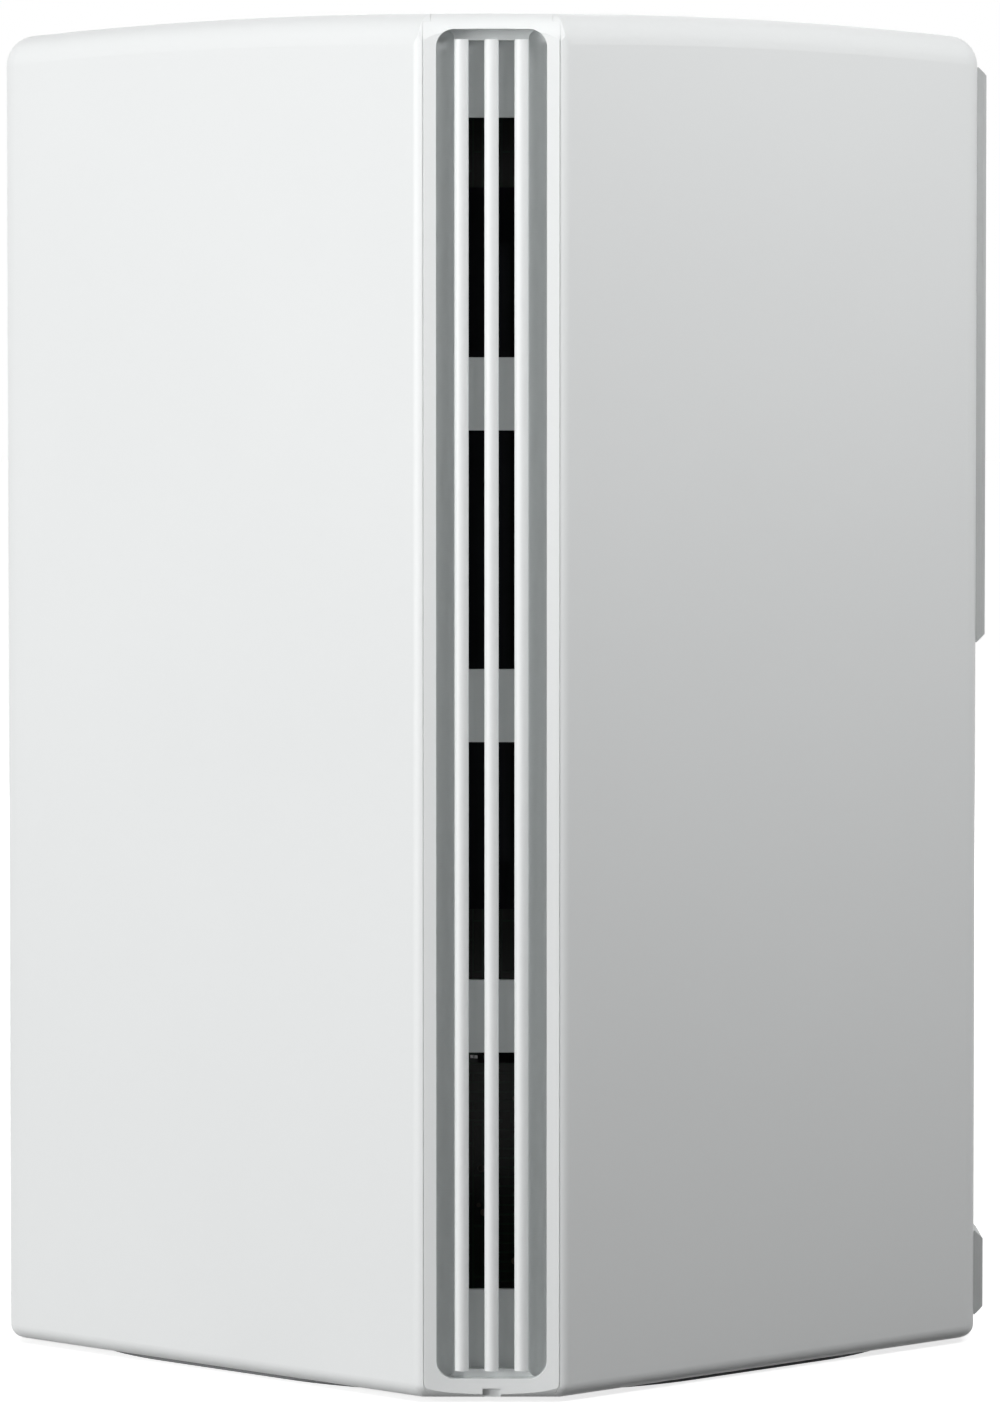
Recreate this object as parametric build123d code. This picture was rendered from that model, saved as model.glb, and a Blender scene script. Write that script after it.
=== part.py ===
from build123d import *
import math
import os

os.makedirs("parts", exist_ok=True)

# A free-standing wireless router: a white square tower that stands on a rubber foot.
# Millimetres, +Z up. The origin is the middle of the footprint, on the surface it stands on.
# The four corners of the square plan lie on the X and Y axes: vents at -Y and +Y, ports at +X,
# status lights at -X.

# ---------------------------------------------------------------- body
corner_width = 130.2         # from one corner facet to the opposite one
vent_edge_radius = 2.0       # upright edges beside the two vents
side_edge_radius = 4.5       # upright edges beside the ports and beside the lights
cavity_edge_radius = 0.5
overall_height = 177.9
crown_rise = 2.1             # the top is slightly domed
wall = 2.5
roof_thickness = 2.8
top_edge_radius = 4.0
rim_edge_radius = 1.8
foot_height = 0.7            # how far the foot stands below the shell's rim

# ---------------------------------------------------------------- fits
fit_gap = 0.1                # between mouldings that drop into each other
vent_gap = 0.03              # between a vent insert and its seat, a snug snap fit
screw_gap = 0.05             # between a screw's thread and the hole it bites
screw_clearance = 0.1        # between a screw's shank and a hole it passes through
head_clearance = 0.2         # round a screw's head
running_gap = 0.08           # round a switch plunger in its housing
overshoot = 1.0              # how far a cut runs past the face it opens
flat_within = 0.01           # an edge that spans less than this is level
corner_half_turn = 22.5      # half the turn between a face and a corner facet

# ---------------------------------------------------------------- vent inserts
lip_width = 17.3
lip_margin = 0.7             # of the corner facet on each side of the lip
lip_border = 1.65            # from the lip's outer edge to the recess
lip_depth = 1.25
lip_edge_radius = 0.2        # round the lip's front
lip_corner_radius = 2.2      # its two lower corners
lip_dish_radius = 65.0       # the lip's front is hollowed by this much
recess_side_wall = 0.7       # of the insert's body, beside the recess
recess_foot = 2.4            # from the shell's rim up to the recess
recess_head = 1.85           # from the recess up to the top of the corner
recess_corner_radius = 2.3
recess_depth = 2.8
recess_frame = 0.9           # thickness of the insert's body below the recess
vent_floor_depth = 4.4
vent_floor_thickness = 1.2
rib_width = 1.8
rib_pitch = 3.8
rib_count = 3
rib_crest_depth = 0.5
rib_foot_gap = 1.0
rib_head_gap = 1.3
slot_length = 30.3
slot_pitch = 39.55
pry_notch_width = 2.3
pry_notch_height = 1.2

# ---------------------------------------------------------------- base cover and foot
cover_thickness = 2.5
cover_sink = 0.5             # how far the cover lies above the shell's rim
cover_notch_gap = 0.3        # round the vent inserts
foot_inset = 2.9             # the foot's outer edge, inside the shell's faces
foot_corner_radius = 37.0
foot_width = 5.0
foot_seat_depth = 0.8
foot_edge_radius = 0.3
intake_slot_width = 3.0
intake_slot_length = 40.0
intake_slot_pitch = 8.0
intake_slot_count = 5
intake_offset = -12.0        # the slots' middle, towards the front vent

# ---------------------------------------------------------------- network sockets
socket_count = 4
socket_pitch = 18.2
socket_width = 16.0          # up the stack
socket_height = 11.8         # off the board
socket_depth = 21.0
socket_sink = 0.5            # behind the bezel's face
plug_width = 11.9
plug_height = 6.9
plug_depth = 14.0
plug_offset = 0.9            # of the plug's space, towards the board
latch_width = 6.2
latch_height = 1.9
contact_count = 8
contact_pitch = 1.02
contact_width = 0.45
contact_thickness = 0.3
contact_length = 8.0
contact_setback = 3.0
contact_lift = 0.25

# ---------------------------------------------------------------- power inlet
inlet_width = 9.0
inlet_below_axis = 5.3
inlet_depth = 14.2
inlet_bore = 6.4
inlet_bore_depth = 10.0
inlet_pin_diameter = 2.0
inlet_pin_setback = 0.7
inlet_pin_root = 1.5
inlet_pin_tip_radius = 0.5

# ---------------------------------------------------------------- port panel
panel_side_wall = 1.2        # beside the sockets
panel_rim_gap = 2.9          # from the shell's rim up to the panel
panel_head_room = 1.15       # from the panel up to the roof's underside
panel_sink = 0.2
panel_flange_gap = 0.3       # between the flange and the shell's inside
panel_flange_thickness = 1.3
panel_flange_lap = 1.0       # beyond the panel's sides
panel_flange_top_lap = 0.7
panel_flange_foot_gap = 0.2  # above the base cover
bezel_rise = 1.3
bezel_end_chamfer = 1.1
bezel_side_chamfer = 0.4
socket_bezel_margin = 3.3    # beyond the stack of sockets
inlet_bezel_margin = 1.2     # beyond the inlet

# ---------------------------------------------------------------- buttons and switches
mesh_button_drop = 14.4      # below the raised frame of the sockets
mesh_button_diameter = 7.6
mesh_button_gap = 0.3
mesh_button_sink = 0.2
mesh_button_travel = 0.5
mesh_button_edge_radius = 0.4
mesh_collar_diameter = 9.6
mesh_collar_thickness = 1.0
mesh_collar_gap = 0.3
mesh_stem_diameter = 4.0
reset_rise = 9.6             # above the raised frame of the inlet
reset_hole_diameter = 1.8
reset_travel = 0.3
switch_width = 7.0
switch_below_axis = 3.2
switch_depth = 4.0
switch_edge_gap = 4.0        # from the switch's front to the board's edge
mesh_plunger_diameter = 3.4
mesh_plunger_reach = 2.2
reset_plunger_diameter = 2.4
reset_plunger_reach = 3.4
plunger_root = 1.8
plunger_tip_chamfer = 0.25
plunger_room = 0.3           # spare depth behind a fully pressed plunger

# ---------------------------------------------------------------- main board
board_thickness = 1.6
board_left_room = 15.1       # from the lights' facet to the board
board_right_room = 7.1       # from the ports' facet to the board
board_head_room = 4.0
board_foot_room = 1.1
board_hole_inset = 5.0
board_hole_rise = 6.8
board_hole_drop = 6.0
board_hole_right_inset = 18.0
board_hole_socket_gap = 7.95

# ---------------------------------------------------------------- chips and small parts
chip_height = 1.2
pad_thickness = 0.8
pad_inset = 1.0              # inside the part that a pad lies on
processor_size = 17.0
processor_offset = (4.0, 5.0)  # from the heatsink's middle
switch_chip_size = 13.0
switch_chip_inset = 10.0     # from the heatsink's right edge
switch_chip_rise = 27.0      # above the heatsink's middle
memory_width = 9.0
memory_length = 13.0
memory_pitch = 17.0
memory_count = 2
memory_inset = 16.0          # from the heatsink's left edge
memory_drop = 3.0            # the lower chip, below the heatsink's middle
flash_width = 8.0
flash_length = 6.0
flash_inset = 52.0           # from the board's left edge
flash_rise = 34.8            # from the board's lower edge
magnetics_width = 9.0
magnetics_length = 13.0
magnetics_height = 5.0
magnetics_gap = 2.4          # from the sockets' backs
capacitor_count = 3
capacitor_diameter = 6.3
capacitor_height = 7.2
capacitor_pitch = 8.5
capacitor_inset = 15.0
capacitor_rise = 32.8
inductor_count = 2
inductor_size = 6.0
inductor_height = 3.6
inductor_edge_radius = 1.0
inductor_pitch = 9.0
inductor_inset = 35.0
inductor_rise = 16.8
shield_height = 2.2
shield_edge_radius = 0.4
front_shield_size = 30.0
front_shield_inset = 12.0
front_shield_rise = 16.8
rear_shield_width = 32.0
rear_shield_length = 38.0
rear_shield_pitch = 47.0
rear_shield_inset = 8.0      # inside the chassis window
rear_shield_drop = 5.0       # below the window's upper edge

# ---------------------------------------------------------------- heatsink and spreader
heatsink_left_inset = 14.0   # from the board's left edge
heatsink_right_gap = 1.5     # from the magnetics
heatsink_drop = 13.0         # from the board's top edge
heatsink_length = 98.0
heatsink_base = 3.0
fin_count = 10
fin_thickness = 1.6
fin_reach = 22.0
fin_end_setback = 8.0
heatsink_hole_inset = 4.0
heatsink_boss_diameter = 6.0
spreader_thickness = 1.5
spreader_lap = 7.0           # beyond the chassis window's sides
spreader_top_lap = 10.0
spreader_rise = 30.0         # above the window's lower edge
spreader_hole_inset = 3.5

# ---------------------------------------------------------------- chassis
chassis_standoff = 1.0
chassis_thickness = 2.0
chassis_left_lap = 4.0       # beyond the board
chassis_right_inset = 1.0
chassis_roof_gap = 0.3
chassis_boss_diameter = 6.4
window_left_inset = 12.0     # from the board's left edge
window_right_inset = 1.0     # from the heatsink's right edge
window_rise = 14.8           # from the board's lower edge
window_drop = 19.0           # from the board's top edge
chassis_foot_reach = 20.0
chassis_foot_half_length = 40.0
chassis_foot_thickness = 2.5
chassis_foot_hole_pitch = 34.0
chassis_foot_hole_line = 15.2
chassis_foot_boss_height = 9.0
brace_thickness = 2.2
brace_half_length = 30.0
brace_reach = 18.0

# ---------------------------------------------------------------- screws
shell_boss_setback = 9.5     # screw axis, inside the shell's inner faces
shell_boss_diameter = 6.8
shell_boss_height = 14.0
base_screw_shank = 2.6
base_screw_head = 5.0
base_screw_head_height = 1.4
base_screw_length = 11.0
board_screw_shank = 2.4
board_screw_head = 5.0
board_screw_head_height = 1.6
screw_end_gap = 1.0          # between a screw's end and the bottom or back of its boss
driver_recess_width = 0.6
driver_recess_length = 3.0
driver_recess_depth = 0.8

# ---------------------------------------------------------------- lights
light_count = 3
light_pitch = 7.0
light_drop = 19.0            # the top light, below the board's top edge
light_prong_diameter = 2.4
light_bar_length = 5.6
light_bar_width = 7.2
light_bar_margin = 2.6
led_length = 1.4
led_height = 0.9
led_width = 3.0
led_gap = 0.3

# ---------------------------------------------------------------- antennas and leads
antenna_width = 16.0
antenna_length = 50.0
antenna_thickness = 0.8
antenna_pad_thickness = 0.8
antenna_pad_width = 12.0
antenna_pad_length = 40.0
front_antenna_drop = 61.0    # the antenna's lower end, below the board's top edge
rear_antenna_drop = 103.0
lead_diameter = 1.13
lead_contact_gap = 0.05
lead_end_gap = 0.2           # between a lead's cut end and its connector
feed_length = 8.0            # of a lead that lies along its antenna
connector_size = 2.6
connector_height = 1.5
front_connector_inset = 21.1 # from the corner facets
front_connector_rise = 54.8  # from the board's lower edge
rear_connector_offset = 16.0 # to each side of the middle
rear_connector_rise = 26.8

# ---------------------------------------------------------------- places worked out from the above
half_width = corner_width / 2
corner_facet = lip_width + 2 * lip_margin
face_distance = (half_width + corner_facet / 2) / math.sqrt(2)
inner_face_distance = face_distance - wall
rim_level = foot_height
corner_top = overall_height - crown_rise
roof_underside = corner_top - roof_thickness
crown_radius = (half_width ** 2 + crown_rise ** 2) / (2 * crown_rise)

recess_width = lip_width - 2 * lip_border
vent_body_width = recess_width + 2 * recess_side_wall
vent_depth = vent_floor_depth + vent_floor_thickness
recess_bottom = rim_level + recess_foot
recess_top = corner_top - recess_head
rib_bottom = recess_bottom + rib_foot_gap
rib_top = recess_top - rib_head_gap
slot_rows = int((rib_top - rib_bottom) / slot_pitch)
slot_field_middle = (recess_bottom + recess_top) / 2

cover_bottom = rim_level + cover_sink
cover_top = cover_bottom + cover_thickness

panel_width = socket_height + 2 * fit_gap + 2 * panel_side_wall
panel_bottom = rim_level + panel_rim_gap
panel_top = roof_underside - panel_head_room
panel_face = half_width - panel_sink
panel_back = half_width - wall - panel_flange_gap - panel_flange_thickness
bezel_face = half_width + bezel_rise
stack_length = (socket_count - 1) * socket_pitch + socket_width
socket_bezel_bottom = panel_top - stack_length - 2 * socket_bezel_margin
socket_middle = (panel_top + socket_bezel_bottom) / 2
socket_steps = [i - (socket_count - 1) / 2 for i in range(socket_count)]
socket_levels = [socket_middle + step * socket_pitch for step in socket_steps]
socket_front = bezel_face - socket_sink
socket_back = socket_front - socket_depth
inlet_bezel_top = panel_bottom + inlet_width + 2 * inlet_bezel_margin
inlet_level = (panel_bottom + inlet_bezel_top) / 2
mesh_button_level = socket_bezel_bottom - mesh_button_drop
reset_level = inlet_bezel_top + reset_rise

board_left = board_left_room - half_width
board_right = half_width - board_right_room
board_bottom = cover_top + board_foot_room
board_top = roof_underside - board_head_room
board_middle = (board_bottom + board_top) / 2
board_face = socket_height / 2
board_back = board_face + board_thickness
switch_front = board_right - switch_edge_gap
magnetics_right = socket_back - magnetics_gap
chip_top = board_face - chip_height

heatsink_left = board_left + heatsink_left_inset
heatsink_right = magnetics_right - magnetics_width - heatsink_right_gap
heatsink_top = board_top - heatsink_drop
heatsink_bottom = heatsink_top - heatsink_length
heatsink_back = chip_top - pad_thickness
heatsink_front = heatsink_back - heatsink_base
heatsink_middle = ((heatsink_left + heatsink_right) / 2, (heatsink_bottom + heatsink_top) / 2)

chassis_left = board_left - chassis_left_lap
chassis_right = board_right - chassis_right_inset
chassis_front = board_back + chassis_standoff
chassis_back = chassis_front + chassis_thickness
window_x = (board_left + window_left_inset, heatsink_right - window_right_inset)
window_z = (board_bottom + window_rise, board_top - window_drop)
spreader_x = (window_x[0] - spreader_lap, window_x[1] + spreader_lap)
spreader_z = (window_z[0] + spreader_rise, window_z[1] + spreader_top_lap)
board_clearance_hole = board_screw_shank + 2 * screw_clearance
base_clearance_hole = base_screw_shank + 2 * screw_clearance
shell_boss_offset = (inner_face_distance - shell_boss_setback) / math.sqrt(2)

# Places on the board as (x, z), each from the edge or the part that it goes with.
hole_bottom = board_bottom + board_hole_rise
hole_top = board_top - board_hole_drop
hole_left = board_left + board_hole_inset
hole_right = board_right - board_hole_right_inset
board_holes = [
    (hole_left, hole_bottom),
    (hole_left, board_middle),
    (hole_left, hole_top),
    (hole_right, hole_bottom),
    (hole_right, socket_levels[0] - socket_width / 2 - board_hole_socket_gap),
    (heatsink_right - heatsink_hole_inset, hole_top),
]
processor_place = (heatsink_middle[0] + processor_offset[0], heatsink_middle[1] + processor_offset[1])
switch_chip_place = (heatsink_right - switch_chip_inset, heatsink_middle[1] + switch_chip_rise)
memory_places = [
    (heatsink_left + memory_inset, heatsink_middle[1] - memory_drop + i * memory_pitch)
    for i in range(memory_count)
]
flash_place = (board_left + flash_inset, board_bottom + flash_rise)
capacitor_places = [
    (board_right - capacitor_inset - i * capacitor_pitch, board_bottom + capacitor_rise)
    for i in range(capacitor_count)
]
inductor_places = [
    (board_right - inductor_inset - i * inductor_pitch, board_bottom + inductor_rise)
    for i in range(inductor_count)
]
front_shield_corner = (board_left + front_shield_inset, board_bottom + front_shield_rise)
rear_shield_left = window_x[0] + rear_shield_inset
rear_shield_top = window_z[1] - rear_shield_drop
rear_shield_levels = {
    "lower": rear_shield_top - rear_shield_length - rear_shield_pitch,
    "upper": rear_shield_top - rear_shield_length,
}
front_connector = (front_connector_inset - half_width, board_bottom + front_connector_rise)
rear_connector = (-rear_connector_offset, board_bottom + rear_connector_rise)
front_antenna_bottom = board_top - front_antenna_drop
rear_antenna_bottom = board_top - rear_antenna_drop


# ---------------------------------------------------------------- helpers
def block(x_span, y_span, z_span):
    """A box between two values on each axis."""
    size = [high - low for low, high in (x_span, y_span, z_span)]
    middle = [(high + low) / 2 for low, high in (x_span, y_span, z_span)]
    return Pos(*middle) * Box(*size)


def along_y(place, level_from, level_to, diameter):
    """A cylinder along Y at a place given as (x, z)."""
    length = abs(level_to - level_from)
    middle = (level_from + level_to) / 2
    return Pos(place[0], middle, place[1]) * Rot(90, 0, 0) * Cylinder(diameter / 2, length)


def along_x(height, x_from, x_to, diameter):
    """A cylinder along X on the middle plane at a height."""
    rod = Cylinder(diameter / 2, abs(x_to - x_from))
    return Pos((x_from + x_to) / 2, 0, height) * Rot(0, 90, 0) * rod


def upright(place, z_from, z_to, diameter):
    """A cylinder along Z at a place given as (x, y)."""
    return Pos(place[0], place[1], (z_from + z_to) / 2) * Cylinder(diameter / 2, z_to - z_from)


def plan(inset, vent_radius, side_radius):
    """The body's eight-sided plan, moved in by an inset, with its corners rounded."""
    half = half_width - inset
    facet = corner_facet / 2 - inset * (math.sqrt(2) - 1)
    points = [(facet, -half), (half, -facet), (half, facet), (facet, half)]
    points += [(-x, -y) for x, y in points]
    outline = Polygon(*points, align=None)
    if side_radius > 0:
        outline = fillet([v for v in outline.vertices() if abs(v.X) > abs(v.Y)], side_radius)
    if vent_radius > 0:
        outline = fillet([v for v in outline.vertices() if abs(v.Y) > abs(v.X)], vent_radius)
    return outline


def prism(outline, z_from, z_to):
    """An outline in plan, raised between two heights."""
    return extrude(Pos(0, 0, z_from) * outline, z_to - z_from)


def crown():
    """Everything below the domed top."""
    return Pos(0, 0, overall_height - crown_radius) * Rot(90, 0, corner_half_turn) * Sphere(crown_radius)


def vent_edge_cutter():
    """What rounds one upright edge beside a vent: the room round the edge, less a cylinder."""
    edge = (corner_facet / 2, -half_width)
    setback = vent_edge_radius * math.tan(math.radians(corner_half_turn))
    slant = setback / math.sqrt(2)
    clear = overshoot / math.sqrt(2)
    centre = (edge[0] - setback, edge[1] + vent_edge_radius)
    points = [
        (centre[0], edge[1]),
        (centre[0], edge[1] - overshoot),
        (edge[0] + clear, edge[1] - overshoot),
        (edge[0] + slant + clear, edge[1] + slant - clear),
        (edge[0] + slant, edge[1] + slant),
        centre,
    ]
    outline = Polygon(*points, align=None) - Pos(*centre) * Circle(vent_edge_radius)
    return prism(outline, rim_level - overshoot, overall_height + overshoot)


def tower():
    """The plain outside of the body, with its top, rim and upright edges rounded."""
    body = prism(plan(0, 0, side_edge_radius), rim_level, overall_height) & crown()
    top_edges = [e for e in body.edges() if e.bounding_box().min.Z > overall_height - 2 * crown_rise]
    body = fillet(top_edges, top_edge_radius)
    cutter = vent_edge_cutter()
    for piece in (cutter, mirror(cutter, Plane.YZ)):
        body -= piece
        body -= mirror(piece, Plane.XZ)
    rim = [e for e in body.edges() if e.bounding_box().max.Z < rim_level + rim_edge_radius]
    return fillet(rim, rim_edge_radius)


def foot_outline(inset):
    """The foot's rounded square, its corners towards the vents, ports and lights."""
    side = 2 * (face_distance - foot_inset - inset)
    return Rot(0, 0, 45) * RectangleRounded(side, side, foot_corner_radius - inset)


def screw(length, shank, head, head_height):
    """A screw pointing up, with its head's underside at the origin and a cross recess."""
    body = Pos(0, 0, length / 2) * Cylinder(shank / 2, length)
    body += Pos(0, 0, -head_height / 2) * Cylinder(head / 2, head_height)
    for turn in (0, 90):
        cross = Box(driver_recess_length, driver_recess_width, driver_recess_depth)
        body -= Pos(0, 0, driver_recess_depth / 2 - head_height) * Rot(0, 0, turn) * cross
    return body


def board_screw(place, head_level, length):
    """A small screw that enters along +Y, with the underside of its head at a level."""
    fastener = screw(length, board_screw_shank, board_screw_head, board_screw_head_height)
    return Pos(place[0], head_level, place[1]) * Rot(-90, 0, 0) * fastener


# ---------------------------------------------------------------- casing
def shell_boss_places():
    return [(sx * shell_boss_offset, sy * shell_boss_offset) for sx in (-1, 1) for sy in (-1, 1)]


def vent_opening():
    """The room that one vent insert takes out of the corner at -Y."""
    outer = lip_width / 2 + vent_gap
    inner = vent_body_width / 2 + vent_gap
    above = overall_height + overshoot
    outside = -half_width - overshoot
    seat_back = -half_width + lip_depth + vent_gap
    throat_back = -half_width + vent_depth + vent_gap
    body_bottom = recess_bottom - recess_frame - vent_gap
    seat = block((-outer, outer), (outside, seat_back), (rim_level - vent_gap, above))
    seat = fillet(lower_corners(seat), lip_corner_radius + vent_gap)
    throat = block((-inner, inner), (outside, throat_back), (body_bottom, above))
    return seat + throat


def lower_corners(slab):
    """The two lowest edges of a slab that run along Y."""
    return slab.edges().filter_by(Axis.Y).sort_by(Axis.Z)[:2]


def light_levels():
    return [board_top - light_drop - i * light_pitch for i in range(light_count)]


def outer_shell():
    body = tower()
    inner_radius = max(side_edge_radius - wall, cavity_edge_radius)
    body -= prism(plan(wall, cavity_edge_radius, inner_radius), rim_level - overshoot, roof_underside)
    body -= vent_opening()
    body -= Rot(0, 0, 180) * vent_opening()
    panel_half = panel_width / 2 + fit_gap
    body -= block(
        (half_width - wall - overshoot, half_width + overshoot),
        (-panel_half, panel_half),
        (panel_bottom - fit_gap, panel_top + fit_gap),
    )
    for level in light_levels():
        through = (-half_width - overshoot, -half_width + wall + overshoot)
        body -= along_x(level, *through, light_prong_diameter + 2 * fit_gap)
    return body + shell_bosses()


def shell_bosses():
    """Four posts near the rim that take the base screws, each tied to its face by a rib."""
    posts = None
    boss_top = cover_top + shell_boss_height
    hole = base_screw_shank + 2 * screw_gap
    for index, place in enumerate(shell_boss_places()):
        angle = math.degrees(math.atan2(place[1], place[0]))
        reach = shell_boss_setback + wall / 2
        rib = Pos(reach / 2, 0, (cover_top + boss_top) / 2) * Box(reach, wall, boss_top - cover_top)
        post = upright(place, cover_top, boss_top, shell_boss_diameter)
        post += Pos(place[0], place[1], 0) * Rot(0, 0, angle) * rib
        post -= upright(place, cover_top - overshoot, cover_top + base_screw_length, hole)
        posts = post if posts is None else posts + post
    return posts


def vent_insert():
    """The slotted strip that closes the corner at -Y, rounded over where the body is."""
    front = -half_width
    half_lip = lip_width / 2
    half_body = vent_body_width / 2
    body_bottom = recess_bottom - recess_frame
    above = overall_height + overshoot
    lip = block((-half_lip, half_lip), (front, front + lip_depth), (rim_level, above))
    lip = fillet(lower_corners(lip), lip_corner_radius)
    lip = fillet(lip.faces().sort_by(Axis.Y)[0].edges(), lip_edge_radius)
    core = block((-half_body, half_body), (front + lip_depth, front + vent_depth), (body_bottom, above))
    insert = (lip + core) & tower()
    dish_centre = front - math.sqrt(lip_dish_radius ** 2 - half_lip ** 2)
    insert -= upright((0, dish_centre), rim_level - overshoot, above, 2 * lip_dish_radius)

    recess_height = recess_top - recess_bottom
    recess_face = RectangleRounded(recess_width, recess_height, recess_corner_radius)
    recess_middle = (recess_top + recess_bottom) / 2
    recess = extrude(recess_face, recess_depth, both=True)
    insert -= Pos(0, front, recess_middle) * Rot(90, 0, 0) * recess
    insert -= side_grooves(front)
    insert += ribs(front)
    insert -= channels(front)
    insert -= block(
        (-pry_notch_width / 2, pry_notch_width / 2),
        (front - overshoot, front + lip_depth),
        (rim_level - overshoot, rim_level + pry_notch_height),
    )
    return insert


def rib_places():
    return [(i - (rib_count - 1) / 2) * rib_pitch for i in range(rib_count)]


def side_grooves(front):
    """The half-round floors between the outer ribs and the recess's sides."""
    outer_rib = max(rib_places()) + rib_width / 2
    radius = (recess_width / 2 - outer_rib) / 2
    cut = None
    for side in (-1, 1):
        middle = (side * (outer_rib + radius), front + recess_depth)
        groove = upright(middle, recess_bottom + radius, recess_top - radius, 2 * radius)
        for end in (recess_bottom + radius, recess_top - radius):
            groove += Pos(middle[0], middle[1], end) * Sphere(radius)
        cut = groove if cut is None else cut + groove
    return cut


def ribs(front):
    """Upright bars with round noses, standing on the recess floor."""
    nose = rib_width / 2
    nose_centre = front + rib_crest_depth + nose
    bars = None
    for place in rib_places():
        web = block(
            (place - nose, place + nose),
            (nose_centre, front + vent_floor_depth),
            (rib_bottom, rib_top),
        )
        bar = web + upright((place, nose_centre), rib_bottom, rib_top, rib_width)
        bars = bar if bars is None else bars + bar
    return bars


def channels(front):
    """The deep channels between the ribs and the rows of slots through their floors."""
    slot_half = slot_length / 2
    room = rib_pitch - rib_width
    cut = None
    for left, right in zip(rib_places(), rib_places()[1:]):
        middle = (left + right) / 2
        span = (middle - room / 2, middle + room / 2)
        deep = (front + recess_depth - overshoot, front + vent_floor_depth)
        channel = block(span, deep, (rib_bottom, rib_top))
        for row in range(slot_rows):
            level = slot_field_middle + (row - (slot_rows - 1) / 2) * slot_pitch
            through = (front + recess_depth, front + vent_depth + overshoot)
            channel += block(span, through, (level - slot_half, level + slot_half))
        cut = channel if cut is None else cut + channel
    return cut


def port_panel():
    """The upright strip at +X that frames the sockets, the buttons and the power inlet."""
    half = panel_width / 2
    flange_half = half + panel_flange_lap
    flange_bottom = cover_top + panel_flange_foot_gap
    flange_top = panel_top + panel_flange_top_lap
    strip = block((half_width - wall, panel_face), (-half, half), (panel_bottom, panel_top))
    strip += block((panel_back, half_width - wall), (-half, half), (flange_bottom, panel_top))
    strip += block(
        (panel_back, panel_back + panel_flange_thickness),
        (-flange_half, flange_half),
        (flange_bottom, flange_top),
    )
    strip += bezel(socket_bezel_bottom, panel_top)
    strip += bezel(panel_bottom, inlet_bezel_top)
    through = (panel_back - overshoot, bezel_face + overshoot)
    for level in socket_levels:
        strip -= block(
            through,
            (-board_face - fit_gap, board_face + fit_gap),
            (level - socket_width / 2 - fit_gap, level + socket_width / 2 + fit_gap),
        )
    strip -= block(
        through,
        (-inlet_below_axis - fit_gap, board_face + fit_gap),
        (inlet_level - inlet_width / 2 - fit_gap, inlet_level + inlet_width / 2 + fit_gap),
    )
    strip -= along_x(mesh_button_level, *through, mesh_button_diameter + 2 * mesh_button_gap)
    strip -= along_x(reset_level, *through, reset_hole_diameter)
    return strip


def bezel(z_from, z_to):
    """A raised frame on the port panel, its edges chamfered."""
    half = panel_width / 2
    raised = block((panel_face - overshoot, bezel_face), (-half, half), (z_from, z_to))
    front = raised.faces().sort_by(Axis.X)[-1]
    ends = [e for e in front.edges() if e.bounding_box().size.Z < flat_within]
    raised = chamfer(ends, bezel_end_chamfer)
    front = raised.faces().sort_by(Axis.X)[-1]
    sides = [e for e in front.edges() if e.bounding_box().size.Y < flat_within]
    return chamfer(sides, bezel_side_chamfer)


def base_cover():
    """The plate that closes the bottom, with the foot's seat, intake slots and screw holes."""
    side_radius = max(side_edge_radius - wall - fit_gap, cavity_edge_radius)
    outline = plan(wall + fit_gap, cavity_edge_radius, side_radius)
    cover = prism(outline, cover_bottom, cover_top)
    notch_half = vent_body_width / 2 + cover_notch_gap
    for turn in (0, 180):
        notch = block(
            (-notch_half, notch_half),
            (-half_width, -half_width + vent_depth + cover_notch_gap),
            (cover_bottom - overshoot, cover_top + overshoot),
        )
        cover -= Rot(0, 0, turn) * notch
    seat = foot_outline(-fit_gap) - foot_outline(foot_width + fit_gap)
    cover -= prism(seat, cover_bottom - overshoot, cover_bottom + foot_seat_depth)
    for index in range(intake_slot_count):
        offset = intake_offset + (index - (intake_slot_count - 1) / 2) * intake_slot_pitch
        slot = Pos(0, offset) * SlotOverall(intake_slot_length, intake_slot_width)
        cover -= prism(slot, cover_bottom - overshoot, cover_top + overshoot)
    for place in shell_boss_places() + chassis_foot_places():
        cover -= upright(place, cover_bottom - overshoot, cover_top + overshoot, base_clearance_hole)
        head_room = base_screw_head + 2 * head_clearance
        head_seat = cover_bottom + base_screw_head_height
        cover -= upright(place, cover_bottom - overshoot, head_seat, head_room)
    return cover


def foot_ring():
    """The rubber foot, a ring pressed into the cover."""
    ring = foot_outline(0) - foot_outline(foot_width)
    foot = prism(ring, 0, cover_bottom + foot_seat_depth)
    edges = [e for e in foot.edges() if e.bounding_box().max.Z < flat_within]
    return fillet(edges, foot_edge_radius)


def base_screws():
    fastener = screw(base_screw_length, base_screw_shank, base_screw_head, base_screw_head_height)
    level = cover_bottom + base_screw_head_height
    return [Pos(x, y, level) * fastener for x, y in shell_boss_places()]


# ---------------------------------------------------------------- chassis
def chassis_foot_places():
    return [(i * chassis_foot_hole_pitch, chassis_foot_hole_line) for i in (-1, 0, 1)]


def spreader_hole_places():
    inset = spreader_hole_inset
    columns = (spreader_x[0] + inset, spreader_x[1] - inset)
    rows = (spreader_z[0] + inset, spreader_z[1] - inset)
    return [(x, z) for x in columns for z in rows]


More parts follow.
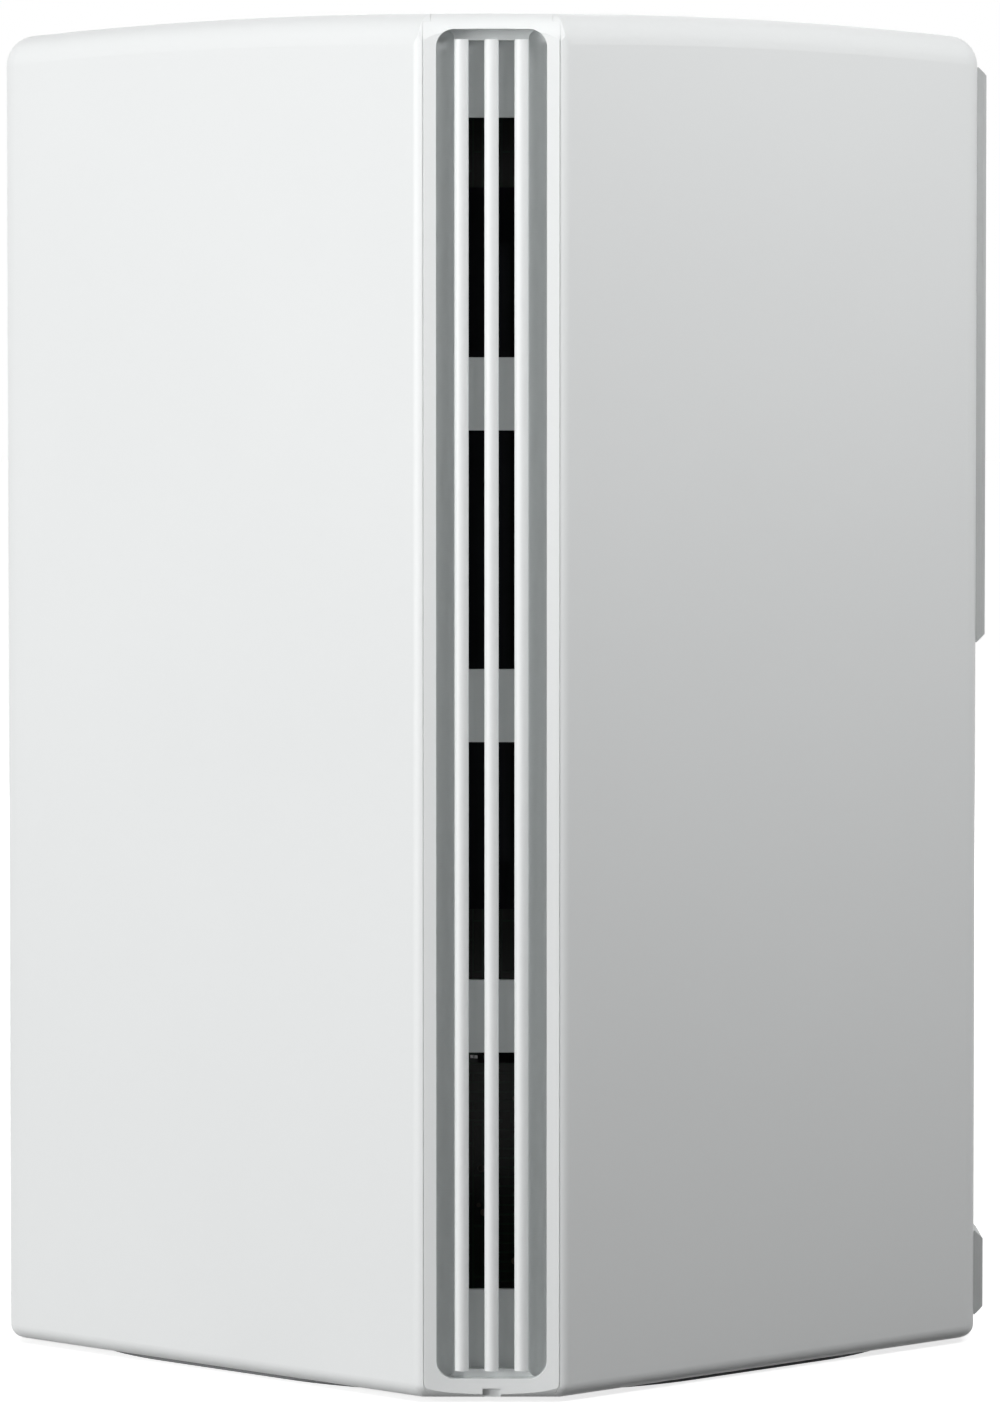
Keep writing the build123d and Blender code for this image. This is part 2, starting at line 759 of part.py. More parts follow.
def chassis():
    """The upright frame behind the main board, standing on the base cover."""
    plate_top = roof_underside - chassis_roof_gap
    frame = block((chassis_left, chassis_right), (chassis_front, chassis_back), (cover_top, plate_top))
    frame -= block(window_x, (chassis_front - overshoot, chassis_back + overshoot), window_z)
    frame += block(
        (-brace_half_length, brace_half_length),
        (-brace_reach, chassis_back),
        (plate_top - brace_thickness, plate_top),
    )
    frame += block(
        (-chassis_foot_half_length, chassis_foot_half_length),
        (chassis_front, chassis_foot_reach),
        (cover_top, cover_top + chassis_foot_thickness),
    )
    for place in chassis_foot_places():
        frame += upright(place, cover_top, cover_top + chassis_foot_boss_height, chassis_boss_diameter)
        frame += block(
            (place[0] - chassis_thickness / 2, place[0] + chassis_thickness / 2),
            (chassis_front, place[1]),
            (cover_top, cover_top + chassis_foot_boss_height),
        )
    for place in board_holes:
        frame += along_y(place, board_back, chassis_back, chassis_boss_diameter)
    hole = board_screw_shank + 2 * screw_gap
    for place in board_holes:
        frame -= along_y(place, board_back - overshoot, chassis_back + overshoot, hole)
    for place in spreader_hole_places():
        frame -= along_y(place, chassis_front - overshoot, chassis_back + overshoot, hole)
    for place in chassis_foot_places():
        hole_end = cover_top + chassis_foot_boss_height - screw_end_gap / 2
        frame -= upright(place, cover_top - overshoot, hole_end, base_screw_shank + 2 * screw_gap)
    return frame


def chassis_screws():
    fastener = screw(chassis_screw_length(), base_screw_shank, base_screw_head, base_screw_head_height)
    level = cover_bottom + base_screw_head_height
    return [Pos(x, y, level) * fastener for x, y in chassis_foot_places()]


def chassis_screw_length():
    return cover_thickness - base_screw_head_height + chassis_foot_boss_height - screw_end_gap


# ---------------------------------------------------------------- main board
def heatsink_hole_places():
    inset = heatsink_hole_inset
    columns = (heatsink_left + inset, heatsink_right - inset)
    rows = (heatsink_bottom + inset, heatsink_top - inset)
    return [(x, z) for x in columns for z in rows]


def main_board():
    board = block((board_left, board_right), (board_face, board_back), (board_bottom, board_top))
    for place in board_holes + heatsink_hole_places():
        board -= along_y(place, board_face - overshoot, board_back + overshoot, board_clearance_hole)
    return board


def on_board(place, size, height):
    """A block on the front of the board, given its middle and size as (x, z)."""
    return block(
        (place[0] - size[0] / 2, place[0] + size[0] / 2),
        (board_face - height, board_face),
        (place[1] - size[1] / 2, place[1] + size[1] / 2),
    )


def board_screws():
    length = chassis_back - board_face - screw_end_gap / 2
    return [board_screw(place, board_face, length) for place in board_holes]


def shield_can(x_span, z_span, y_from, y_to):
    """A folded sheet-metal cover, drawn as a closed box with soft upright edges."""
    can = block(x_span, (y_from, y_to), z_span)
    return fillet(can.edges().filter_by(Axis.Y), shield_edge_radius)


def front_shield():
    left, bottom = front_shield_corner
    x_span = (left, left + front_shield_size)
    z_span = (bottom, bottom + front_shield_size)
    return shield_can(x_span, z_span, board_face - shield_height, board_face)


def rear_shield(bottom):
    x_span = (rear_shield_left, rear_shield_left + rear_shield_width)
    z_span = (bottom, bottom + rear_shield_length)
    return shield_can(x_span, z_span, board_back, board_back + shield_height)


def processor():
    return on_board(processor_place, (processor_size, processor_size), chip_height)


def switch_chip():
    return on_board(switch_chip_place, (switch_chip_size, switch_chip_size), chip_height)


def memory_chips():
    size = (memory_width, memory_length)
    return [on_board(place, size, chip_height) for place in memory_places]


def flash_chip():
    return on_board(flash_place, (flash_width, flash_length), chip_height)


def network_magnetics():
    middle = magnetics_right - magnetics_width / 2
    size = (magnetics_width, magnetics_length)
    return [on_board((middle, z), size, magnetics_height) for z in socket_levels]


def power_inductors():
    size = (inductor_size, inductor_size)
    coils = [on_board(place, size, inductor_height) for place in inductor_places]
    return [fillet(coil.edges().filter_by(Axis.Y), inductor_edge_radius) for coil in coils]


def power_capacitors():
    return [
        along_y(place, board_face - capacitor_height, board_face, capacitor_diameter)
        for place in capacitor_places
    ]


def thermal_pads():
    """Soft pads between the chips and the heatsink."""
    chips = [(processor_place, (processor_size, processor_size))]
    chips.append((switch_chip_place, (switch_chip_size, switch_chip_size)))
    chips += [(place, (memory_width, memory_length)) for place in memory_places]
    pads = []
    for place, size in chips:
        x_span = (place[0] - size[0] / 2, place[0] + size[0] / 2)
        z_span = (place[1] - size[1] / 2, place[1] + size[1] / 2)
        pads.append(block(x_span, (heatsink_back, chip_top), z_span))
    return pads


def spreader_pads():
    """Soft pads between the rear shields and the spreader plate."""
    x_span = (rear_shield_left + pad_inset, rear_shield_left + rear_shield_width - pad_inset)
    y_span = (board_back + shield_height, chassis_back)
    length = rear_shield_length - pad_inset
    lows = rear_shield_levels.values()
    return [block(x_span, y_span, (low + pad_inset, low + length)) for low in lows]


# ---------------------------------------------------------------- cooling
def heatsink():
    """An extruded aluminium heatsink with upright fins."""
    sink = block(
        (heatsink_left, heatsink_right),
        (heatsink_front, heatsink_back),
        (heatsink_bottom, heatsink_top),
    )
    step = (heatsink_right - heatsink_left - fin_thickness) / (fin_count - 1)
    for index in range(fin_count):
        left = heatsink_left + index * step
        sink += block(
            (left, left + fin_thickness),
            (heatsink_front - fin_reach, heatsink_front),
            (heatsink_bottom + fin_end_setback, heatsink_top - fin_end_setback),
        )
    for place in heatsink_hole_places():
        sink += along_y(place, heatsink_back, board_face, heatsink_boss_diameter)
    for place in heatsink_hole_places():
        sink -= along_y(place, heatsink_front - overshoot, board_face + overshoot, board_clearance_hole)
    return sink


def heatsink_screws():
    length = board_back + screw_end_gap - heatsink_front
    return [board_screw(place, heatsink_front, length) for place in heatsink_hole_places()]


def spreader_plate():
    """A flat aluminium plate across the chassis window."""
    plate = block(spreader_x, (chassis_back, chassis_back + spreader_thickness), spreader_z)
    for place in spreader_hole_places():
        through = (chassis_back - overshoot, chassis_back + spreader_thickness + overshoot)
        plate -= along_y(place, *through, board_clearance_hole)
    return plate


def spreader_screws():
    length = spreader_thickness + chassis_thickness - screw_end_gap / 2
    fastener = screw(length, board_screw_shank, board_screw_head, board_screw_head_height)
    level = chassis_back + spreader_thickness
    return [Pos(x, level, z) * Rot(90, 0, 0) * fastener for x, z in spreader_hole_places()]


# ---------------------------------------------------------------- sockets and inlet
def network_socket(level):
    """One network socket, its mouth towards +X and its latch away from the board."""
    body = block(
        (socket_front - socket_depth, socket_front),
        (-board_face, board_face),
        (level - socket_width / 2, level + socket_width / 2),
    )
    mouth = (socket_front - plug_depth, socket_front + overshoot)
    plug_low = plug_offset - plug_height / 2
    beside = (level - plug_width / 2, level + plug_width / 2)
    body -= block(mouth, (plug_low, plug_low + plug_height), beside)
    body -= block(
        mouth,
        (plug_low - latch_height, plug_low + overshoot),
        (level - latch_width / 2, level + latch_width / 2),
    )
    return body


def socket_contacts(level):
    """The eight spring contacts of one socket, along the side next to the board."""
    side = plug_offset + plug_height / 2
    wires = []
    for index in range(contact_count):
        height = level + (index - (contact_count - 1) / 2) * contact_pitch
        end = socket_front - contact_setback
        wires.append(block(
            (end - contact_length, end),
            (side - contact_lift - contact_thickness, side - contact_lift),
            (height - contact_width / 2, height + contact_width / 2),
        ))
    return wires


def all_contacts():
    return [wire for level in socket_levels for wire in socket_contacts(level)]


def power_inlet():
    """The barrel inlet for the power adapter's plug."""
    body = block(
        (socket_front - inlet_depth, socket_front),
        (-inlet_below_axis, board_face),
        (inlet_level - inlet_width / 2, inlet_level + inlet_width / 2),
    )
    floor = socket_front - inlet_bore_depth
    body -= along_x(inlet_level, floor, socket_front + overshoot, inlet_bore)
    pin_hole = inlet_pin_diameter + 2 * screw_gap
    body -= along_x(inlet_level, floor - inlet_pin_root, floor + overshoot, pin_hole)
    return body


def inlet_pin():
    floor = socket_front - inlet_bore_depth
    tip = socket_front - inlet_pin_setback
    pin = along_x(inlet_level, floor - inlet_pin_root, tip, inlet_pin_diameter)
    tip = pin.edges().sort_by(Axis.X)[-1]
    return fillet(tip, inlet_pin_tip_radius)


# ---------------------------------------------------------------- switches and buttons
def tact_switch(level, plunger_diameter, travel):
    """A board-mounted switch housing with the bore that its plunger runs in."""
    body = block(
        (switch_front - switch_depth, switch_front),
        (-switch_below_axis, board_face),
        (level - switch_width / 2, level + switch_width / 2),
    )
    depth = plunger_root + travel + plunger_room
    bore = plunger_diameter + 2 * running_gap
    return body - along_x(level, switch_front - depth, switch_front + overshoot, bore)


def plunger(level, diameter, reach):
    """A switch plunger, moving along X in its housing."""
    body = along_x(level, switch_front - plunger_root, switch_front + reach, diameter)
    tip = body.edges().sort_by(Axis.X)[-1]
    return chamfer(tip, plunger_tip_chamfer)


def mesh_button():
    """The round button: a cap through the panel, a collar that keeps it in, and a stem."""
    face = panel_face - mesh_button_sink
    collar_front = panel_back - mesh_collar_gap
    button = along_x(mesh_button_level, collar_front, face, mesh_button_diameter)
    rim = button.edges().sort_by(Axis.X)[-1]
    button = fillet(rim, mesh_button_edge_radius)
    button += along_x(
        mesh_button_level, collar_front - mesh_collar_thickness, collar_front, mesh_collar_diameter
    )
    stem_end = switch_front + mesh_plunger_reach
    button += along_x(mesh_button_level, stem_end, collar_front, mesh_stem_diameter)
    return button


# ---------------------------------------------------------------- lights
def light_pipe():
    """One clear moulding: a prong for each window, joined by a bar that faces the LEDs."""
    bar_right = board_left - led_gap
    bar_left = bar_right - light_bar_length
    levels = light_levels()
    bar = block(
        (bar_left, bar_right),
        (board_face - light_bar_width, board_face),
        (levels[-1] - light_bar_margin, levels[0] + light_bar_margin),
    )
    for level in levels:
        bar += along_x(level, -half_width, bar_left + overshoot, light_prong_diameter)
    return bar


def status_leds():
    """Side-firing LEDs on the board's left edge."""
    x_span = (board_left, board_left + led_length)
    y_span = (board_face - led_height, board_face)
    half = led_width / 2
    return [block(x_span, y_span, (level - half, level + half)) for level in light_levels()]


# ---------------------------------------------------------------- antennas and leads
def on_face(angle, depth, bottom, size):
    """A board on the inside of one face: depth from the face, size as (width, length, thickness)."""
    width, length, thickness = size
    distance = inner_face_distance - depth - thickness / 2
    return Rot(0, 0, angle) * Pos(distance, 0, bottom + length / 2) * Box(thickness, width, length)


def antenna(angle, bottom):
    size = (antenna_width, antenna_length, antenna_thickness)
    return on_face(angle, antenna_pad_thickness, bottom, size)


def antenna_foam(angle, bottom):
    margin = (antenna_length - antenna_pad_length) / 2
    size = (antenna_pad_width, antenna_pad_length, antenna_pad_thickness)
    return on_face(angle, 0, bottom + margin, size)


antenna_sites = {
    "front_left": (225, front_antenna_bottom),
    "front_right": (315, front_antenna_bottom),
    "rear_left": (135, rear_antenna_bottom),
    "rear_right": (45, rear_antenna_bottom),
}


def feed_line(sign_y):
    """Where a lead lies on an antenna at -X, as a distance from the Y and X axes."""
    stack = antenna_pad_thickness + antenna_thickness + lead_contact_gap + lead_diameter / 2
    distance = inner_face_distance - stack
    return (-distance / math.sqrt(2), sign_y * distance / math.sqrt(2))


def front_lead_points():
    """The route from the board's front to the antenna on the left of the front vent."""
    x, z = front_connector
    start_y = board_face - connector_height / 2
    feed_x, feed_y = feed_line(-1)
    bottom = front_antenna_bottom
    return [
        (x, start_y, z + connector_size / 2 + lead_end_gap),
        (x, start_y - 1.2, z + 9),
        (x - 1.5, -8, z + 19),
        (x + 1.5, -20, z + 28),
        (feed_x - 2.5, feed_y + 4.5, bottom - 11),
        (feed_x, feed_y, bottom - 1),
        (feed_x, feed_y, bottom + feed_length),
    ]


def rear_lead_points():
    """The route from the board's back to the antenna on the left of the rear vent."""
    x, z = rear_connector
    start_y = board_back + connector_height / 2
    feed_x, feed_y = feed_line(1)
    bottom = rear_antenna_bottom
    return [
        (x - connector_size / 2 - lead_end_gap, start_y, z),
        (x - 10, start_y + 1.2, z + 0.5),
        (x - 20, start_y + 7, z + 5),
        (feed_x - 2.5, feed_y - 11, bottom - 20),
        (feed_x - 1.0, feed_y - 2.5, bottom - 8),
        (feed_x, feed_y, bottom + feed_length / 2),
    ]


def lead(points):
    """A round cable along straight runs joined by tangent arcs."""
    vectors = [Vector(*point) for point in points]
    radii = []
    for before, corner, after in zip(vectors, vectors[1:], vectors[2:]):
        turn = math.radians((corner - before).get_angle(after - corner))
        run = min((corner - before).length, (after - corner).length)
        radii.append(0.45 * run / math.tan(turn / 2))
    path = FilletPolyline(*points, radius=radii)
    start = Plane(origin=path @ 0, z_dir=path % 0)
    cable = sweep(start * Circle(lead_diameter / 2), path=path)
    return cable, radii, path.length


def mirrored(points):
    return [(-x, y, z) for x, y, z in points]


lead_routes = {
    "front_left": front_lead_points(),
    "front_right": mirrored(front_lead_points()),
    "rear_left": rear_lead_points(),
    "rear_right": mirrored(rear_lead_points()),
}


def coax_connectors():
    """The four snap-on lead connectors, two on each side of the board."""
    half = connector_size / 2
    blocks = []
    for side in (-1, 1):
        x, z = front_connector
        blocks.append(on_board((side * x, z), (connector_size, connector_size), connector_height))
        x, z = rear_connector
        blocks.append(block(
            (side * x - half, side * x + half),
            (board_back, board_back + connector_height),
            (z - half, z + half),
        ))
    return blocks


# ---------------------------------------------------------------- the whole part
def single(shape):
    """One shape out of a shape or a list of separate solids."""
    if isinstance(shape, list):
        groups = [s.solids() for s in shape]
        return Compound(children=[Compound(g) if len(g) > 1 else g[0] for g in groups])
    return shape


nodes = {
    "outer_shell": outer_shell(),
    "front_vent": vent_insert(),
    "rear_vent": Rot(0, 0, 180) * vent_insert(),
    "port_panel": port_panel(),
    "base_cover": base_cover(),
    "foot_ring": foot_ring(),
    "base_screws": base_screws(),
    "chassis": chassis(),
    "chassis_screws": chassis_screws(),
    "main_board": main_board(),
    "board_screws": board_screws(),
    "processor": processor(),
    "switch_chip": switch_chip(),
    "memory_chips": memory_chips(),
    "flash_chip": flash_chip(),
    "front_radio_shield": front_shield(),
    "network_magnetics": network_magnetics(),
    "power_inductors": power_inductors(),
    "power_capacitors": power_capacitors(),
    "thermal_pads": thermal_pads(),
    "spreader_pads": spreader_pads(),
    "heatsink": heatsink(),
    "heatsink_screws": heatsink_screws(),
    "spreader_plate": spreader_plate(),
    "spreader_screws": spreader_screws(),
    "socket_contacts": all_contacts(),
    "power_inlet": power_inlet(),
    "inlet_pin": inlet_pin(),
    "mesh_button": mesh_button(),
    "mesh_switch": tact_switch(mesh_button_level, mesh_plunger_diameter, mesh_button_travel),
    "mesh_plunger": plunger(mesh_button_level, mesh_plunger_diameter, mesh_plunger_reach),
    "reset_switch": tact_switch(reset_level, reset_plunger_diameter, reset_travel),
    "reset_plunger": plunger(reset_level, reset_plunger_diameter, reset_plunger_reach),
    "light_pipe": light_pipe(),
    "status_leds": status_leds(),
    "coax_connectors": coax_connectors(),
    "antenna_foam": [antenna_foam(*site) for site in antenna_sites.values()],
}
for index, level in enumerate(socket_levels):
    nodes[f"network_socket_{index + 1}"] = network_socket(level)
for name, bottom in rear_shield_levels.items():
    nodes[f"rear_radio_shield_{name}"] = rear_shield(bottom)
for name, site in antenna_sites.items():
    nodes[f"antenna_{name}"] = antenna(*site)
for name, route in lead_routes.items():
    cable, radii, length = lead(route)
    nodes[f"antenna_lead_{name}"] = cable
    share = cable.volume / (math.pi * (lead_diameter / 2) ** 2 * length)
    print(name, "lead", round(length, 1), "mm, radii", [round(r, 1) for r in radii], round(share, 4))

for name, shape in nodes.items():
    export_step(single(shape), f"parts/{name}.step")
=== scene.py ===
"""A free-standing wireless router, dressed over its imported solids.

Blender works in metres, so a size in this file is a count of millimetres times MM. The
frame is the solids' own: +Z up, the origin in the middle of the footprint, the vents at
-Y and +Y, the ports at +X and the status lights at -X.
"""

import logging
import math
from dataclasses import dataclass
from enum import Enum
from random import Random
from typing import Any, Iterable, Optional

import bmesh
import bpy
from mathutils import Matrix, Vector


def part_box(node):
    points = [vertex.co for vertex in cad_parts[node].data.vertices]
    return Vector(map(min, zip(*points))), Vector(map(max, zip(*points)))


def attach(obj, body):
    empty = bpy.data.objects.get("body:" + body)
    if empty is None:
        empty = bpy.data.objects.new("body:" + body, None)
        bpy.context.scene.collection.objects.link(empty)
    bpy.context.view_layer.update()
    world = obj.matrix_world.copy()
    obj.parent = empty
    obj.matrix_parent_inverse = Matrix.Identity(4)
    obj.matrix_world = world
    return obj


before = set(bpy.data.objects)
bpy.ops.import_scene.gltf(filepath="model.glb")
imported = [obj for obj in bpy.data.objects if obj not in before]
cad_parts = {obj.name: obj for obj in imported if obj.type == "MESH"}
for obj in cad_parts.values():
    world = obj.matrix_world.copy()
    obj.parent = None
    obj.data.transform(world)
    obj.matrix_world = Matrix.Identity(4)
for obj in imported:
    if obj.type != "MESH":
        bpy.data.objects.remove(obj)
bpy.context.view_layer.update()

MM = 0.001
WAVE_TURN = 20  # a wave texture of scale 1 turns through this many radians in a metre
Tree = bpy.types.NodeTree
Node = bpy.types.Node
Socket = bpy.types.NodeSocket
LOG = logging.getLogger("router")


# ------------------------------------------------------------------ names
class Body(Enum):
    """The bodies that the pieces ride on."""

    ROUTER = "router"
    MESH_BUTTON = "mesh_button"
    RESET_BUTTON = "reset_button"


class Slot(Enum):
    """Names of material slots for the added pieces; nothing in the script uses them."""

    CIRCUIT_BOARD = "circuit_board"
    TINNED_STEEL = "tinned_steel"
    COAX_BRASS = "coax_brass"


# ------------------------------------------------------------------ small tools
def linear(code: str) -> tuple[float, float, float, float]:
    """Turns an sRGB hex colour to the linear values that shaders take.

    Args:
        code: six hex digits, with or without a leading hash.

    Returns:
        Linear red, green and blue, and an alpha of 1.
    """
    digits = code.lstrip("#")
    channels = [int(digits[i:i + 2], 16) / 255 for i in (0, 2, 4)]
    red, green, blue = (
        c / 12.92 if c <= 0.04045 else ((c + 0.055) / 1.055) ** 2.4 for c in channels
    )
    return (red, green, blue, 1.0)


def per_metre(size_mm: float) -> float:
    """The scale of a texture whose features are a given number of millimetres."""
    return 1.0 / (size_mm * MM)


def add_node(
    tree: Tree,
    kind: str,
    inputs: Optional[dict[Any, Any]] = None,
    **settings: Any,
) -> Node:
    """Adds one node with its settings and links.

    Args:
        tree: the node tree that takes the node.
        kind: the node's type.
        inputs: by socket name or number, either a value or another node's output.
        settings: the node's own properties.

    Returns:
        The new node.
    """
    node = tree.nodes.new(kind)
    for name, value in settings.items():
        setattr(node, name, value)
    for key, value in (inputs or {}).items():
        if isinstance(value, Socket):
            tree.links.new(value, node.inputs[key])
        else:
            node.inputs[key].default_value = value
    return node


# ------------------------------------------------------------------ finishes
@dataclass(frozen=True)
class Finish:
    """What every finish has: a name, a colour, a second shade that it drifts to, and how
    much its roughness and its fine relief vary."""

    name: str
    colour: str
    shade: str
    roughness: float
    spread: float = 0.05  # how far the roughness strays from its middle value
    relief_mm: float = 0.02
    relief_strength: float = 0.5

    def material(self) -> bpy.types.Material:
        """Makes the material once, and hands out the same one after that.

        Returns:
            The finish as a Blender material.
        """
        known = bpy.data.materials.get(self.name)
        if known is not None and known.get("router_finish"):
            return known
        made = bpy.data.materials.new(self.name)
        made["router_finish"] = True
        made.use_nodes = True
        tree = made.node_tree
        tree.nodes.clear()
        shader = add_node(tree, "ShaderNodeBsdfPrincipled")
        add_node(tree, "ShaderNodeOutputMaterial", {"Surface": shader.outputs[0]})
        place = add_node(tree, "ShaderNodeTexCoord").outputs["Object"]
        self.paint(tree, shader, place)
        return made

    def paint(self, tree: Tree, shader: Node, place: Socket) -> None:
        """Links the finish's pattern to its shader.

        Args:
            tree: the material's node tree.
            shader: its Principled shader.
            place: the object coordinates.
        """
        raise NotImplementedError

    def drift(self, tree: Tree, shader: Node, pattern: Socket) -> Socket:
        """Lets the colour drift between its two shades with a pattern.

        Args:
            tree: the material's node tree.
            shader: its Principled shader.
            pattern: values from 0 to 1 over the surface.

        Returns:
            The mixed colour, in case something is laid over it.
        """
        mix = add_node(
            tree,
            "ShaderNodeMix",
            {0: pattern, 6: linear(self.colour), 7: linear(self.shade)},
            data_type="RGBA",
        )
        tree.links.new(mix.outputs[2], shader.inputs["Base Color"])
        return mix.outputs[2]

    def vary_roughness(self, tree: Tree, shader: Node, pattern: Socket) -> None:
        """Spreads the roughness about its middle value with a pattern.

        Args:
            tree: the material's node tree.
            shader: its Principled shader.
            pattern: values from 0 to 1 over the surface.
        """
        low, high = self.roughness - self.spread, self.roughness + self.spread
        span = add_node(tree, "ShaderNodeMapRange", {0: pattern, 3: low, 4: high})
        tree.links.new(span.outputs[0], shader.inputs["Roughness"])

    def raise_relief(self, tree: Tree, shader: Node, height: Socket) -> None:
        """Raises the finish's fine relief.

        Args:
            tree: the material's node tree.
            shader: its Principled shader.
            height: values from 0 to 1 over the surface.
        """
        bump = add_node(
            tree,
            "ShaderNodeBump",
            {
                "Height": height,
                "Distance": self.relief_mm * MM,
                "Strength": self.relief_strength,
            },
        )
        tree.links.new(bump.outputs[0], shader.inputs["Normal"])


@dataclass(frozen=True)
class MouldedPlastic(Finish):
    """Injection-moulded plastic: an even colour that drifts a little where the melt
    flowed, under the fine grain that a spark-eroded mould leaves."""

    relief_mm: float = 0.01
    grain_mm: float = 0.35
    flow_mm: float = 45.0
    ior: float = 1.5
    coat: float = 0.0

    def paint(self, tree: Tree, shader: Node, place: Socket) -> None:
        """Flow marks drive the colour, and the grain the relief and the roughness.

        Args:
            tree: the material's node tree.
            shader: its Principled shader.
            place: the object coordinates.
        """
        flow = add_node(
            tree,
            "ShaderNodeTexNoise",
            {"Vector": place, "Scale": per_metre(self.flow_mm), "Detail": 2.0},
        ).outputs[0]
        grain = add_node(
            tree,
            "ShaderNodeTexNoise",
            {"Vector": place, "Scale": per_metre(self.grain_mm), "Detail": 3.0},
        ).outputs[0]
        self.drift(tree, shader, flow)
        self.vary_roughness(tree, shader, grain)
        self.raise_relief(tree, shader, grain)
        shader.inputs["IOR"].default_value = self.ior
        shader.inputs["Coat Weight"].default_value = self.coat


@dataclass(frozen=True)
class RecessedPlastic(MouldedPlastic):
    """The casing's plastic on a part with deep hollows, with painted shade: the hollows are
    greyed more the deeper they lie below the part's face, standing in for the shade that falls
    in them."""

    # The colour of the painted shade in the recess, and the depths over which it grows.
    hollow_shade: str = "DADDDD"
    face_mm: float = 65.1  # from the part's middle to its face
    shade_depths_mm: tuple[float, float] = (0.6, 2.0)  # depths where the grey starts and is full
    recess_top_mm: float = 174.0

    def drift(self, tree: Tree, shader: Node, pattern: Socket) -> Socket:
        """Lays painted shade over the drifting colour, growing with the depth below the part's
        face.

        Args:
            tree: the material's node tree.
            shader: its Principled shader.
            pattern: values from 0 to 1 over the surface.

        Returns:
            The colour with its painted shade.
        """
        skin = super().drift(tree, shader, pattern)
        place = add_node(tree, "ShaderNodeTexCoord").outputs["Object"]
        split = add_node(tree, "ShaderNodeSeparateXYZ", {0: place}).outputs
        outward = add_node(
            tree, "ShaderNodeMath", {0: split["Y"]}, operation="ABSOLUTE"
        ).outputs[0]
        below_top = add_node(
            tree,
            "ShaderNodeMath",
            {0: split["Z"], 1: self.recess_top_mm * MM},
            operation="LESS_THAN",
        ).outputs[0]
        start, full = ((self.face_mm - depth) * MM for depth in self.shade_depths_mm)
        # Painted shade: none above the first depth below the face, full past the second.
        shade_by_depth = add_node(
            tree, "ShaderNodeMapRange", {0: outward, 1: start, 2: full}
        ).outputs[0]
        # The painted shade is kept below the recess's top, so the insert's roof stays white.
        inside = add_node(
            tree, "ShaderNodeMath", {0: shade_by_depth, 1: below_top}, operation="MULTIPLY"
        ).outputs[0]
        # The painted shade laid over the plastic's own colour.
        shaded_colour = add_node(
            tree,
            "ShaderNodeMix",
            {0: inside, 6: skin, 7: linear(self.hollow_shade)},
            data_type="RGBA",
        ).outputs[2]
        tree.links.new(shaded_colour, shader.inputs["Base Color"])
        return shaded_colour


@dataclass(frozen=True)
class CastRubber(Finish):
    """Silicone rubber: dull, with a soft haze of dust caught in its grain."""

    spread: float = 0.06
    relief_mm: float = 0.03
    relief_strength: float = 0.6
    grain_mm: float = 0.5
    dust_mm: float = 6.0
    ior: float = 1.41

    def paint(self, tree: Tree, shader: Node, place: Socket) -> None:
        """Dust patches drive the colour and the roughness.

        Args:
            tree: the material's node tree.
            shader: its Principled shader.
            place: the object coordinates.
        """
        dust = add_node(
            tree,
            "ShaderNodeTexNoise",
            {"Vector": place, "Scale": per_metre(self.dust_mm), "Detail": 6.0},
        ).outputs[0]
        grain = add_node(
            tree,
            "ShaderNodeTexNoise",
            {"Vector": place, "Scale": per_metre(self.grain_mm), "Detail": 2.0},
        ).outputs[0]
        self.drift(tree, shader, dust)
        self.vary_roughness(tree, shader, dust)
        self.raise_relief(tree, shader, grain)
        shader.inputs["IOR"].default_value = self.ior


@dataclass(frozen=True)
class WorkedMetal(Finish):
    """Metal that was drawn, rolled, plated or brushed: streaks along its working
    direction and a mottle where the surface took the plating unevenly."""

    spread: float = 0.08
    relief_mm: float = 0.004
    streaks: tuple[float, float, float] = (1.0, 1.0, 1.0)
    streak_mm: float = 0.4
    mottle_mm: float = 5.0

    def paint(self, tree: Tree, shader: Node, place: Socket) -> None:
        """Stretched noise makes the streaks, and plain noise the mottle.

        Args:
            tree: the material's node tree.
            shader: its Principled shader.
            place: the object coordinates.
        """
        along = add_node(
            tree, "ShaderNodeMapping", {"Vector": place, "Scale": self.streaks}
        ).outputs[0]
        streak = add_node(
            tree,
            "ShaderNodeTexNoise",
            {"Vector": along, "Scale": per_metre(self.streak_mm), "Detail": 3.0},
        ).outputs[0]
        mottle = add_node(
            tree,
            "ShaderNodeTexNoise",
            {"Vector": place, "Scale": per_metre(self.mottle_mm), "Detail": 4.0},
        ).outputs[0]
        self.drift(tree, shader, mottle)
        self.vary_roughness(tree, shader, streak)
        self.raise_relief(tree, shader, streak)
        shader.inputs["Metallic"].default_value = 1.0


